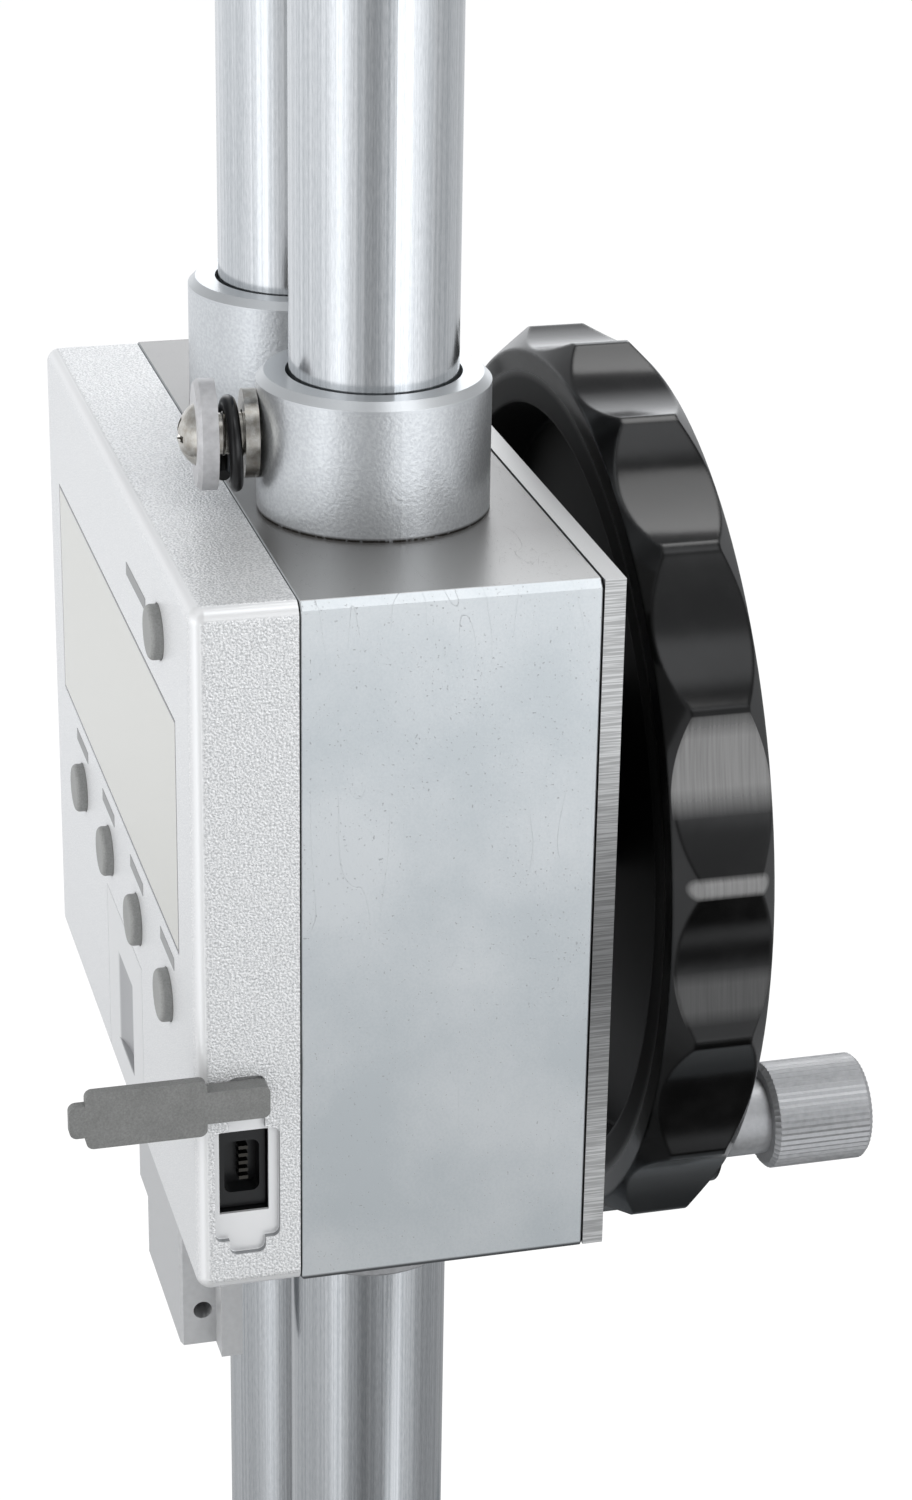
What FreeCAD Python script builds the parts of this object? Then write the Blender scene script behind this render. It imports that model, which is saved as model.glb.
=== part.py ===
import FreeCAD, Part
import math
import os
from FreeCAD import Vector

os.makedirs("parts", exist_ok=True)

# Frame: +Z up along the columns, the display faces -Y, the handwheel is at +Y.
# The origin is on the base's ground underside, midway between the two columns.
# The head's own pieces are modelled with z = 0 at the underside of its block,
# and are lifted to the place where the head stands.

# Columns and the travel of the head
column_diameter = 20.0
column_spacing = 42.3
travel = 300.0
head_rest = 165.0
park_gap = 0.5
top_gap = 1.5
column_end_chamfer = 0.6

# Fits
running_clearance = 0.04
assembly_gap = 0.02
piece_gap = 0.3
moulding_gap = 0.12
thread_gap = 0.02

# How far a cut runs past a face, and how far a rib or a boss sinks into its wall
cut_past = 1.0
root_depth = 0.2

# Base casting
base_width = 150.0
base_front = 14.3
base_rear = 110.0
slab_height = 24.0
pedestal_height = 45.0
pedestal_width = 96.0
pedestal_rear = 20.0
base_corner_radius = 12.0
pedestal_corner_radius = 9.0
base_top_radius = 3.0
base_foot_chamfer = 0.8
relief_depth = 1.0
relief_margin = 14.0
grip_radius = 8.0
grip_depth = 5.0
grip_length = 66.0
grip_height = 13.0
column_seat_height = 15.0

# Screws that hold the columns
foot_screw_diameter = 8.0
foot_screw_head_diameter = 13.0
foot_screw_head_height = 8.0
foot_screw_grip = 18.0
thread_room = 2.0
cap_screw_diameter = 6.0
cap_screw_head_diameter = 10.0
cap_screw_head_height = 6.0
cap_screw_grip = 12.0
head_pocket_gap = 0.7
shank_hole_gap = 0.3

# Top bridge
bridge_height = 16.0
bridge_wall = 3.5
bridge_socket = 7.0
bridge_edge_radius = 2.5

# Scale beam, scale and rack between the columns
collar_pass_gap = 0.31
slot_side_gap = 0.9
beam_setback = 3.4
beam_thickness = 2.5
strip_thickness = 0.7
strip_inset = 4.0
strip_end_gap = 6.0
beam_seat = 4.0
rack_back = 1.2
rack_depth = 6.0

# Rack and pinion
gear_module = 0.8
pinion_teeth = 12
pressure_angle = 20.0
pinion_addendum = 0.8
pinion_dedendum = 0.85
rack_addendum = 0.55
rack_dedendum = 1.0
tooth_backlash = 0.08
pinion_face_gap = 0.1
rack_run_out = 8.0

# Head block
block_width = 104.14
block_height = 86.1
block_front = 15.76
block_rear = 19.33
block_top_chamfer = 0.95
block_face_chamfer = 0.35
column_relief = 0.6

# Guide bushes in the block
bush_wall = 1.16
bush_length = 18.0
bush_nose = 13.7
bush_end_chamfer = 0.4

# Collars on the block
collar_height = 16.6
collar_wall = 3.44
collar_clearance = 0.4
collar_chamfer = 0.92

# Clamp on the right-hand collar
clamp_turn = 6.0
clamp_height = 9.3
clamp_screw_diameter = 5.0
clamp_washer_diameter = 10.5
clamp_washer_thickness = 1.65
clamp_knob_diameter = 13.1
clamp_knob_thickness = 2.4
clamp_knob_chamfer = 0.5
clamp_head_diameter = 7.3
clamp_head_height = 2.0
clamp_tip_chamfer = 0.5
cross_depth = 1.1
cross_width = 0.8
cross_length = 4.1
lock_washer_space = 3.2
lock_washer_diameter = 11.4
lock_washer_wire = 1.6
lock_washer_drop = 1.2
lock_washer_rise = 1.25
lock_washer_turns = 0.94
shoe_diameter = 3.8
shoe_thickness = 1.4
shoe_saddle = 0.5
shoe_gap = 0.1

# Back plate
plate_thickness = 2.5
plate_screw_inset = 7.5
plate_screw_diameter = 4.0
plate_screw_length = 10.0

# Handwheel and its shaft
wheel_height = 39.3
wheel_diameter = 117.2
wheel_standoff = 6.0
rim_bevel_front = 2.8
rim_land = 7.1
rim_bevel_back = 2.6
rim_ring_width = 6.8
web_thickness = 4.0
web_setback = 6.7
dish_slope = 2.0
hub_diameter = 24.0
hub_rise_back = 2.9
scallop_count = 18
scallop_phase = 9.5
scallop_land = 1.2
scallop_depth = 2.4
scallop_edge_radius = 1.0
journal_diameter = 10.0
wheel_seat_diameter = 8.0
wheel_seat_flat = 0.8
wheel_seat_short = 0.5
shaft_bush_diameter = 16.0
drag_spring_height = 2.1
drag_spring_thickness = 0.6
drag_spring_inset = 1.5
drag_spring_gap = 0.1
wheel_washer_diameter = 14.0
wheel_washer_thickness = 1.2
wheel_nut_flats = 10.0
wheel_nut_height = 5.5
wheel_nut_crown = 2.0
wheel_nut_shoulder = 0.4
wheel_nut_crown_width = 6.9
wheel_thread_diameter = 6.0

# Crank on the handwheel
crank_inset = 10.1
crank_angle = -47.1
crank_boss_diameter = 15.0
crank_boss_rise = 0.9
crank_ring_diameter = 8.6
crank_ring_height = 2.0
crank_neck_diameter = 9.6
crank_neck_length = 5.3
crank_grip_diameter = 13.6
crank_grip_length = 13.1
crank_pin_diameter = 5.0
crank_stud_diameter = 6.0
crank_head_diameter = 7.6
crank_head_height = 1.4
crank_head_sink = 0.5
crank_slot_width = 1.0
crank_slot_depth = 0.8
crank_stud_short = 0.5
crank_end_play = 0.1
crank_chamfer = 0.6

# Display housing
housing_depth = 12.34
housing_drop = 0.4
housing_wall = 1.9
housing_edge_radius = 1.8
housing_screw_inset = 4.87
housing_screw_diameter = 2.5
housing_screw_length = 12.0
housing_screw_web = 5.96
housing_boss_diameter = 6.0
housing_thread_room = 1.5

# Display window and panel
window_width = 85.6
window_bottom = 40.0
window_top_inset = 16.6
window_thickness = 1.2
window_ledge = 1.2
panel_margin = 1.8
panel_thickness = 2.5
zebra_width = 2.0
zebra_end_inset = 2.0

# Buttons
button_diameter = 6.5
button_proud = 1.4
button_travel = 0.7
button_flange = 0.95
button_flange_thickness = 1.0
button_row_start = -28.1
button_pitch = 21.0
button_row_height = 31.0
button_row_count = 4
button_single_x = 33.1
button_single_rise = 7.2
button_edge_radius = 0.6
button_stem_diameter = 3.9

# Main board
board_setback = 3.14
board_thickness = 1.4
board_bottom = 22.5
board_top_inset = 8.6
board_half_width = 46.5
board_leg_start = 19.0
board_leg_bottom = 8.5
board_post_diameter = 4.4
board_overlap = 1.0
board_post_x = 42.0
board_post_rise = 4.0
board_post_inset = 2.9
board_screw_diameter = 2.0
board_screw_head_diameter = 3.6
board_screw_head_height = 1.2
board_screw_grip = 3.5
board_screw_room = 1.0

# Reader of the scale
reader_half_width = 10.2
reader_bottom = 24.0
reader_top_inset = 8.1
reader_wall = 1.5
reader_flange = 1.7
reader_flange_depth = 2.0
reader_gap = 0.4
reader_board_thickness = 0.8
reader_screw_head_diameter = 3.2
reader_screw_head_height = 1.1
reader_screw_grip = 4.0

# Data port and its flap
port_y = -22.35
port_width = 5.9
port_bottom = 9.7
port_height = 10.9
port_depth = 2.2
port_tunnel_wall = 0.9
socket_width = 4.2
socket_height = 6.8
socket_depth = 2.5
socket_front_length = 6.1
socket_body_length = 8.6
port_tunnel_start = 5.1
contact_count = 5
contact_pitch = 1.0
contact_width = 0.44
contact_length = 1.75
contact_thickness = 1.1
contact_drop = 0.2
flap_pivot_y = -22.1
flap_pivot_height = 25.9
flap_tongue_start = 2.3
flap_body_start = 5.1
flap_body_length = 14.1
flap_tab_length = 1.9
flap_body_width = 7.2
flap_tongue_width = 4.1
flap_cover_thickness = 1.2
flap_plug_thickness = 0.9
flap_plug_inset = 0.7
flap_recess_depth = 0.9
flap_corner_radius = 0.9
flap_peg_diameter = 2.2
flap_bead_rim = 0.5
flap_bead_length = 0.8
flap_bead_gap = 0.15
flap_peg_reach = 0.5
flap_tongue_lap = 2.0
flap_tab_lap = 3.0

# Battery, its seat and its cover
cover_x = 3.0
cover_width = 26.0
cover_top = 25.0
cover_thickness = 1.5
cover_tongue = 0.7
cover_tongue_thickness = 0.6
cover_rib_room = 3.0
scoop_radius = 18.0
scoop_depth = 0.9
scoop_bottom = 6.0
scoop_height = 13.0
battery_diameter = 20.0
battery_thickness = 3.2
battery_height = 12.3
battery_side_gap = 0.3
battery_seat_wall = 1.5
battery_seat_floor = 1.0
battery_rib_width = 4.0
battery_rim = 0.3
clip_thickness = 0.2
clip_width = 6.0
clip_reach = 4.0
clip_step = 0.7
clip_foot_rise = 3.0
clip_overlap = 2.0
clip_side_depth = 2.5

# Jaw under the head
jaw_plate_width = 32.2
jaw_plate_thickness = 2.8
jaw_plate_top = 20.0
jaw_drop = 33.2
jaw_thickness = 4.74
jaw_width = 24.4
jaw_shoulder_width = 30.6
jaw_shoulder_drop = 24.5
jaw_top_drop = 1.2
jaw_chamfer = 0.4
jaw_screw_spacing = 22.0
jaw_screw_diameter = 4.0
jaw_screw_length = 8.3
jaw_screw_low = 5.0
jaw_screw_high = 14.0
stub_screw_spacing = 16.0
stub_screw_drop = 13.0
stub_screw_diameter = 3.0
stub_screw_length = 6.2
stub_thread_room = 1.5
scriber_hole_diameter = 2.5
scriber_hole_depth = 8.0
scriber_hole_back = 3.0
scriber_hole_up = 5.1

# Directions
UP = Vector(0, 0, 1)
DOWN = Vector(0, 0, -1)
RIGHT = Vector(1, 0, 0)
BACK = Vector(0, 1, 0)
FORWARD = Vector(0, -1, 0)

# Places worked out from the sizes above
column_radius = column_diameter / 2
column_x = column_spacing / 2
bush_radius = column_radius + running_clearance + bush_wall
collar_radius = column_radius + collar_clearance + collar_wall
beam_half = column_x - collar_radius - collar_pass_gap
slot_half = beam_half + slot_side_gap
beam_front_y = -beam_setback
beam_back_y = beam_front_y + beam_thickness
strip_front_y = beam_front_y - strip_thickness
rack_back_y = beam_back_y + rack_depth
slot_front_y = strip_front_y - piece_gap
slot_back_y = rack_back_y + piece_gap
tooth_pitch = math.pi * gear_module
pinion_radius = gear_module * pinion_teeth / 2
rack_pitch_x = -beam_half + rack_back + rack_dedendum
wheel_x = rack_pitch_x + pinion_radius
plate_back_y = block_rear + plate_thickness
head_low = pedestal_height + bush_nose + park_gap
head_high = head_low + travel
bridge_bottom = head_high + block_height + collar_height + top_gap
bridge_top = bridge_bottom + bridge_height
column_top = bridge_bottom + bridge_socket
half_block = block_width / 2
housing_front_y = -block_front - housing_depth
housing_inner_y = housing_front_y + housing_wall
rim_front_y = plate_back_y + wheel_standoff
rim_back_y = rim_front_y + rim_bevel_front + rim_land + rim_bevel_back
web_front_y = rim_front_y + web_setback
web_back_y = web_front_y + web_thickness
hub_front_y = plate_back_y + drag_spring_height
hub_back_y = web_back_y + hub_rise_back
board_front_y = -block_front - board_setback
board_back_y = board_front_y + board_thickness
jaw_plate_front_y = -block_front - jaw_plate_thickness
jaw_front_y = jaw_plate_front_y - jaw_thickness
crank_radius = wheel_diameter / 2 - crank_inset
crank_x = wheel_x + crank_radius * math.cos(math.radians(crank_angle))
crank_z = wheel_height + crank_radius * math.sin(math.radians(crank_angle))
wheel_centre = Vector(wheel_x, 0, wheel_height)
window_top = block_height - window_top_inset
button_single_height = window_top + button_single_rise
board_top = block_height - board_top_inset
board_post_low = board_bottom + board_post_rise
board_post_high = board_top - board_post_inset
reader_top = block_height - reader_top_inset


def bar(x_span, y_span, z_span):
    """A box between two limits on each axis."""
    corner = Vector(x_span[0], y_span[0], z_span[0])
    return Part.makeBox(x_span[1] - x_span[0], y_span[1] - y_span[0], z_span[1] - z_span[0], corner)


def rod(diameter, foot, way, length):
    """A round bar that starts at foot and runs along way."""
    return Part.makeCylinder(diameter / 2, length, foot, way)


def ring(outer, inner, foot, way, length):
    """A round tube."""
    return rod(outer, foot, way, length).cut(rod(inner, foot, way, length))


def turned(profile, foot, way):
    """A piece turned on a lathe: profile is a closed outline of radius and distance along way."""
    points = [Vector(radius, 0, along) for radius, along in profile]
    outline = Part.Face(Part.makePolygon(points + points[:1]))
    body = outline.revolve(Vector(0, 0, 0), UP, 360)
    body.Placement = FreeCAD.Placement(foot, FreeCAD.Rotation(UP, way))
    return body


def edges_along(shape, way, keep=None):
    """The straight edges of a shape that run along one direction."""
    chosen = []
    for edge in shape.Edges:
        if not isinstance(edge.Curve, Part.Line):
            continue
        run = edge.Vertexes[-1].Point.sub(edge.Vertexes[0].Point)
        if run.Length < 1e-6 or abs(run.dot(way)) < 0.999 * run.Length:
            continue
        if keep is None or keep(edge.CenterOfMass):
            chosen.append(edge)
    return chosen


def at_both_sides(x, make):
    """The same small piece at +x and at -x."""
    return [make(x), make(-x)]


def group(shapes):
    """Separate solids that share one node."""
    return Part.makeCompound(shapes)


def cap_screw(foot, way, shank, shank_length, head, head_height):
    """Socket-head screw; foot is under the head, the shank runs along way and the head the other way."""
    shank_body = rod(shank - 2 * thread_gap, foot, way, shank_length)
    head_body = rod(head, foot, way * -1, head_height)
    socket_depth_here = head_height * 0.5
    socket_width_here = head * 0.5
    socket = hexagon(socket_width_here, foot + way * (socket_depth_here - head_height), way * -1,
                     socket_depth_here)
    return shank_body.fuse(head_body).cut(socket)


def flat_screw(face, way, shank, length):
    """Countersunk screw; face is the middle of its flat head and the shank runs along way."""
    profile = [(0, 0), (shank, 0), (shank / 2 - thread_gap, shank / 2), (shank / 2 - thread_gap, length),
               (0, length)]
    socket = hexagon(shank * 0.62, face, way, shank * 0.35)
    return turned(profile, face, way).cut(socket)


def flat_screw_seat(face, way, shank, depth):
    """The countersunk hole for such a screw."""
    head = shank + assembly_gap
    profile = [(0, -cut_past), (head, -cut_past), (head, 0), (shank / 2, shank / 2 + assembly_gap),
               (shank / 2, depth), (0, depth)]
    return turned(profile, face, way)


def hexagon(flats, foot, way, height):
    """A hexagonal bar, measured across its flats."""
    corner = flats / math.sqrt(3)
    points = []
    for side in range(7):
        angle = math.radians(60 * side)
        points.append(Vector(corner * math.cos(angle), corner * math.sin(angle), 0))
    body = Part.Face(Part.makePolygon(points)).extrude(Vector(0, 0, height))
    body.Placement = FreeCAD.Placement(foot, FreeCAD.Rotation(UP, way))
    return body


# The standing part: base, columns, beam, scale, rack and bridge

def beam_outline_cut(z_span):
    """The pocket that takes an end of the beam and of the rack."""
    beam_room = bar((-beam_half - assembly_gap, beam_half + assembly_gap),
                    (beam_front_y - assembly_gap, beam_back_y + assembly_gap), z_span)
    rack_room = bar((-beam_half - assembly_gap, rack_pitch_x + rack_addendum + assembly_gap),
                    (beam_back_y, rack_back_y + assembly_gap), z_span)
    return beam_room.fuse(rack_room)


def base():
    half = base_width / 2
    slab = bar((-half, half), (-base_front, base_rear), (0, slab_height))
    slab = slab.makeFillet(base_corner_radius, edges_along(slab, UP))
    top_edges = [edge for edge in slab.Edges if abs(edge.CenterOfMass.z - slab_height) < 1e-3]
    slab = slab.makeFillet(base_top_radius, top_edges)
    foot_edges = [edge for edge in slab.Edges if abs(edge.CenterOfMass.z) < 1e-3]
    slab = slab.makeChamfer(base_foot_chamfer, foot_edges)
    half_pedestal = pedestal_width / 2
    pedestal = bar((-half_pedestal, half_pedestal), (-base_front, pedestal_rear),
                   (base_foot_chamfer + base_top_radius, pedestal_height))
    pedestal = pedestal.makeFillet(pedestal_corner_radius, edges_along(pedestal, UP))
    crown = [edge for edge in pedestal.Edges if abs(edge.CenterOfMass.z - pedestal_height) < 1e-3]
    pedestal = pedestal.makeFillet(base_top_radius, crown)
    body = slab.fuse(pedestal)
    relief = bar((-half + relief_margin, half - relief_margin),
                 (pedestal_rear + relief_margin, base_rear - relief_margin), (-cut_past, relief_depth))
    relief = relief.makeFillet(base_corner_radius / 2, edges_along(relief, UP))
    cuts = [relief]
    grip_middle = (pedestal_rear + base_rear) / 2
    for side in (-1, 1):
        start = Vector(side * (half + grip_radius - grip_depth), grip_middle - grip_length / 2, grip_height)
        groove = rod(2 * grip_radius, start, BACK, grip_length)
        cuts.append(groove)
        foot = Vector(side * column_x, 0, 0)
        cuts.append(rod(column_diameter + 2 * assembly_gap, foot + UP * column_seat_height, UP,
                        pedestal_height))
        cuts.append(rod(foot_screw_diameter + 2 * shank_hole_gap, foot, UP, column_seat_height + cut_past))
        cuts.append(rod(foot_screw_head_diameter + 2 * head_pocket_gap, foot - UP * cut_past, UP,
                        foot_screw_head_height + head_pocket_gap + cut_past))
    cuts.append(beam_outline_cut((pedestal_height - beam_seat, pedestal_height + cut_past)))
    return body.cut(cuts)


def column(side):
    """A ground column with a tapped hole in each end."""
    length = column_top - column_seat_height
    foot = Vector(side * column_x, 0, column_seat_height)
    inner = column_radius - column_end_chamfer
    profile = [(0, 0), (inner, 0), (column_radius, column_end_chamfer),
               (column_radius, length - column_end_chamfer), (inner, length), (0, length)]
    body = turned(profile, foot, UP)
    low_thread = rod(foot_screw_diameter, foot, UP, foot_screw_grip + thread_room)
    high_thread = rod(cap_screw_diameter, foot + UP * length, DOWN, cap_screw_grip + thread_room)
    return body.cut([low_thread, high_thread])


def column_screws():
    under_head = foot_screw_head_height + head_pocket_gap
    length = column_seat_height - under_head + foot_screw_grip
    return group(at_both_sides(column_x, lambda x: cap_screw(
        Vector(x, 0, under_head), UP, foot_screw_diameter, length, foot_screw_head_diameter,
        foot_screw_head_height)))


def bridge_screws():
    under_head = bridge_top - cap_screw_head_height - head_pocket_gap
    length = under_head - column_top + cap_screw_grip
    return group(at_both_sides(column_x, lambda x: cap_screw(
        Vector(x, 0, under_head), DOWN, cap_screw_diameter, length, cap_screw_head_diameter,
        cap_screw_head_height)))


def top_bridge():
    end_radius = column_radius + bridge_wall
    middle = bar((-column_x, column_x), (-end_radius, end_radius), (bridge_bottom, bridge_top))
    ends = at_both_sides(column_x, lambda x: rod(2 * end_radius, Vector(x, 0, bridge_bottom), UP,
                                                 bridge_height))
    body = middle.fuse(ends).removeSplitter()
    rims = [edge for edge in body.Edges if abs(edge.CenterOfMass.z - bridge_top) < 1e-3]
    body = body.makeFillet(bridge_edge_radius, rims)
    cuts = [beam_outline_cut((bridge_bottom - cut_past, bridge_bottom + beam_seat))]
    for side in (-1, 1):
        foot = Vector(side * column_x, 0, bridge_bottom)
        cuts.append(rod(column_diameter + 2 * assembly_gap, foot - UP * cut_past, UP,
                        bridge_socket + cut_past))
        cuts.append(rod(cap_screw_diameter + 2 * shank_hole_gap, foot, UP, bridge_height + cut_past))
        pocket_foot = foot + UP * (bridge_height - cap_screw_head_height - head_pocket_gap)
        cuts.append(rod(cap_screw_head_diameter + 2 * head_pocket_gap, pocket_foot, UP, bridge_height))
    return body.cut(cuts)


def scale_beam():
    return bar((-beam_half, beam_half), (beam_front_y, beam_back_y),
               (pedestal_height - beam_seat, bridge_bottom + beam_seat))


def scale_strip():
    return bar((-beam_half + strip_inset, beam_half), (strip_front_y, beam_front_y),
               (pedestal_height + strip_end_gap, bridge_bottom - strip_end_gap))


def rack():
    """Toothed bar: a gap between teeth faces the pinion where the head stands."""
    mesh_height = head_rest + wheel_height
    first = math.floor((head_low + wheel_height - rack_run_out - mesh_height) / tooth_pitch)
    last = math.ceil((head_high + wheel_height + rack_run_out - mesh_height) / tooth_pitch)
    slope = math.tan(math.radians(pressure_angle))
    half_tooth = (tooth_pitch / 2 - tooth_backlash) / 2
    half_tip = half_tooth - rack_addendum * slope
    half_root = half_tooth + rack_dedendum * slope
    root_x = rack_pitch_x - rack_dedendum
    tip_x = rack_pitch_x + rack_addendum
    bottom = pedestal_height - beam_seat
    top = bridge_bottom + beam_seat
    outline = [Vector(-beam_half, beam_back_y, bottom), Vector(root_x, beam_back_y, bottom)]
    for step in range(first, last):
        middle = mesh_height + (step + 0.5) * tooth_pitch
        outline.append(Vector(root_x, beam_back_y, middle - half_root))
        outline.append(Vector(tip_x, beam_back_y, middle - half_tip))
        outline.append(Vector(tip_x, beam_back_y, middle + half_tip))
        outline.append(Vector(root_x, beam_back_y, middle + half_root))
    outline.append(Vector(root_x, beam_back_y, top))
    outline.append(Vector(-beam_half, beam_back_y, top))
    outline.append(outline[0])
    return Part.Face(Part.makePolygon(outline)).extrude(BACK * rack_depth)


# The head: block, bushes, collars, clamp and back plate

def screw_places(x, low, high):
    """The four corners of a rectangle of screws."""
    return [(side * x, z) for side in (-1, 1) for z in (low, high)]


def plate_screw_places():
    return screw_places(half_block - plate_screw_inset, plate_screw_inset, block_height - plate_screw_inset)


def housing_screw_places():
    return screw_places(half_block - housing_screw_inset, housing_screw_inset - housing_drop,
                        block_height - housing_screw_inset)


def jaw_screw_places():
    return screw_places(jaw_screw_spacing / 2, jaw_screw_low, jaw_screw_high)


def head_block():
    body = bar((-half_block, half_block), (-block_front, block_rear), (0, block_height))
    body = body.makeChamfer(block_top_chamfer, edges_along(body, BACK, lambda p: p.z > block_height / 2))
    outer = [edge for edge in body.Edges
             if abs(edge.CenterOfMass.y + block_front) < 1e-3 or abs(edge.CenterOfMass.y - block_rear) < 1e-3]
    body = body.makeChamfer(block_face_chamfer, outer)
    bore = column_diameter + 2 * (running_clearance + column_relief)
    seat = 2 * (bush_radius + assembly_gap)
    cuts = [bar((-slot_half, slot_half), (slot_front_y, slot_back_y), (-cut_past, block_height + cut_past))]
    for side in (-1, 1):
        foot = Vector(side * column_x, 0, 0)
        cuts.append(rod(bore, foot - UP * cut_past, UP, block_height + 2 * cut_past))
        cuts.append(rod(seat, foot - UP * cut_past, UP, bush_length + cut_past))
        cuts.append(rod(seat, foot + UP * (block_height - bush_length), UP, bush_length + cut_past))
    cuts.append(rod(shaft_bush_diameter + 2 * assembly_gap, wheel_centre + BACK * (slot_back_y - cut_past),
                    BACK, block_rear - slot_back_y + 2 * cut_past))
    outside_y = -block_front - cut_past
    cuts.append(bar((-reader_half_width, reader_half_width), (outside_y, slot_front_y + cut_past),
                    (reader_bottom, reader_top)))
    flange_half = reader_half_width + reader_flange
    cuts.append(bar((-flange_half, flange_half), (outside_y, -block_front + reader_flange_depth),
                    (reader_bottom - 2 * reader_flange, reader_top + 2 * reader_flange)))
    for x, z in plate_screw_places():
        cuts.append(rod(plate_screw_diameter, Vector(x, block_rear, z), FORWARD,
                        plate_screw_length - plate_thickness + thread_room))
    for x, z in housing_screw_places():
        cuts.append(rod(housing_screw_diameter + 2 * shank_hole_gap, Vector(x, outside_y, z), BACK,
                        housing_screw_web + 2 * cut_past))
        cuts.append(rod(2 * housing_screw_diameter + head_pocket_gap,
                        Vector(x, -block_front + housing_screw_web, z), BACK, block_front + block_rear))
    for x, z in jaw_screw_places():
        cuts.append(rod(jaw_screw_diameter, Vector(x, -block_front, z), BACK,
                        jaw_screw_length - jaw_plate_thickness + thread_room))
    for z in carrier_screw_heights():
        cuts.append(rod(board_screw_diameter, Vector(0, -block_front, z), BACK,
                        reader_flange_depth + reader_screw_grip + board_screw_room))
    return body.cut(cuts)


def upper_bushes():
    return group(at_both_sides(column_x, lambda x: ring(
        2 * bush_radius, column_diameter + 2 * running_clearance,
        Vector(x, 0, block_height - bush_length), UP, bush_length)))


def lower_bushes():
    """Guide bushes that stand out below the block."""
    bore = column_radius + running_clearance
    profile = [(bore, -bush_nose), (bush_radius - bush_end_chamfer, -bush_nose),
               (bush_radius, bush_end_chamfer - bush_nose), (bush_radius, bush_length), (bore, bush_length)]
    return group(at_both_sides(column_x, lambda x: turned(profile, Vector(x, 0, 0), UP)))


def collar(side):
    inner = column_radius + collar_clearance
    profile = [(inner, 0), (collar_radius, 0), (collar_radius, collar_height - collar_chamfer),
               (collar_radius - collar_chamfer, collar_height), (inner, collar_height)]
    return turned(profile, Vector(side * column_x, 0, block_height), UP)


def on_clamp(shape):
    """Turns a piece made along -Y from the axis of the right-hand column to the clamp's own angle."""
    shape.rotate(Vector(0, 0, 0), UP, -clamp_turn)
    shape.translate(Vector(column_x, 0, block_height + clamp_height))
    return shape


clamp_washer_start = collar_radius + assembly_gap
lock_washer_start = clamp_washer_start + clamp_washer_thickness
clamp_knob_start = lock_washer_start + lock_washer_space
clamp_head_start = clamp_knob_start + clamp_knob_thickness
clamp_tip_start = column_radius + shoe_gap + shoe_thickness


def clamp_collar():
    thread = rod(clamp_screw_diameter, Vector(0, 0, 0), FORWARD, collar_radius + cut_past)
    return collar(1).cut(on_clamp(thread))


def clamp_shoe():
    """Soft pad between the screw's tip and the column."""
    start = column_radius + shoe_gap
    body = rod(shoe_diameter, FORWARD * (start - shoe_saddle), FORWARD, shoe_thickness + shoe_saddle)
    hollow = rod(2 * start, DOWN * shoe_diameter, UP, 2 * shoe_diameter)
    return on_clamp(body.cut(hollow))


def clamp_washer():
    hole = clamp_screw_diameter + 2 * shank_hole_gap
    return on_clamp(ring(clamp_washer_diameter, hole, FORWARD * clamp_washer_start, FORWARD,
                         clamp_washer_thickness))


def clamp_spring():
    """Split spring washer that hangs loose on the screw, one turn of round wire with its gap below."""
    mean_radius = (lock_washer_diameter - lock_washer_wire) / 2
    turn_pitch = lock_washer_rise / lock_washer_turns
    path = Part.Wire(Part.makeHelix(turn_pitch, lock_washer_rise, mean_radius).Edges)
    section = Part.Wire(Part.makeCircle(lock_washer_wire / 2, Vector(mean_radius, 0, 0), BACK))
    coil = path.makePipeShell([section], True, True)
    coil.rotate(Vector(0, 0, 0), RIGHT, 90)
    coil.rotate(Vector(0, 0, 0), BACK, 90)
    coil.translate(Vector(0, -lock_washer_start - assembly_gap - lock_washer_wire / 2, -lock_washer_drop))
    return on_clamp(coil)


def clamp_screw():
    """Cross-recessed dome-head screw."""
    shank_radius = clamp_screw_diameter / 2 - thread_gap
    head_radius = clamp_head_diameter / 2
    start = clamp_tip_start + assembly_gap
    head = clamp_head_start - start
    profile = [(0, 0), (shank_radius - clamp_tip_chamfer, 0), (shank_radius, clamp_tip_chamfer),
               (shank_radius, head), (0, head)]
    body = turned(profile, FORWARD * start, FORWARD)
    dome_radius = (head_radius ** 2 + clamp_head_height ** 2) / (2 * clamp_head_height)
    ball = Part.makeSphere(dome_radius, FORWARD * (clamp_head_start + clamp_head_height - dome_radius))
    dome = ball.common(rod(clamp_head_diameter, FORWARD * clamp_head_start, FORWARD,
                           clamp_head_height + cut_past))
    top = clamp_head_start + clamp_head_height
    arm = (-cross_length / 2, cross_length / 2)
    blade = (-cross_width / 2, cross_width / 2)
    deep = (-top, -top + cross_depth)
    cross = bar(arm, deep, blade).fuse(bar(blade, deep, arm))
    return on_clamp(body.fuse(dome).cut(cross))


def clamp_knob():
    outer = clamp_knob_diameter / 2
    inner = clamp_screw_diameter / 2
    profile = [(inner, 0), (outer, 0), (outer, clamp_knob_thickness - clamp_knob_chamfer),
               (outer - clamp_knob_chamfer, clamp_knob_thickness), (inner, clamp_knob_thickness)]
    return on_clamp(turned(profile, FORWARD * clamp_knob_start, FORWARD))


def back_plate():
    body = bar((-half_block, half_block), (block_rear, plate_back_y), (0, block_height))
    cuts = [rod(journal_diameter + 2 * shank_hole_gap, wheel_centre + BACK * (block_rear - cut_past),
                BACK, plate_thickness + 2 * cut_past)]
    for x, z in plate_screw_places():
        cuts.append(flat_screw_seat(Vector(x, plate_back_y, z), FORWARD, plate_screw_diameter,
                                    plate_thickness + cut_past))
    return body.cut(cuts)


def back_plate_screws():
    return group([flat_screw(Vector(x, plate_back_y, z), FORWARD, plate_screw_diameter, plate_screw_length)
                  for x, z in plate_screw_places()])


# Handwheel, pinion shaft and crank

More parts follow.
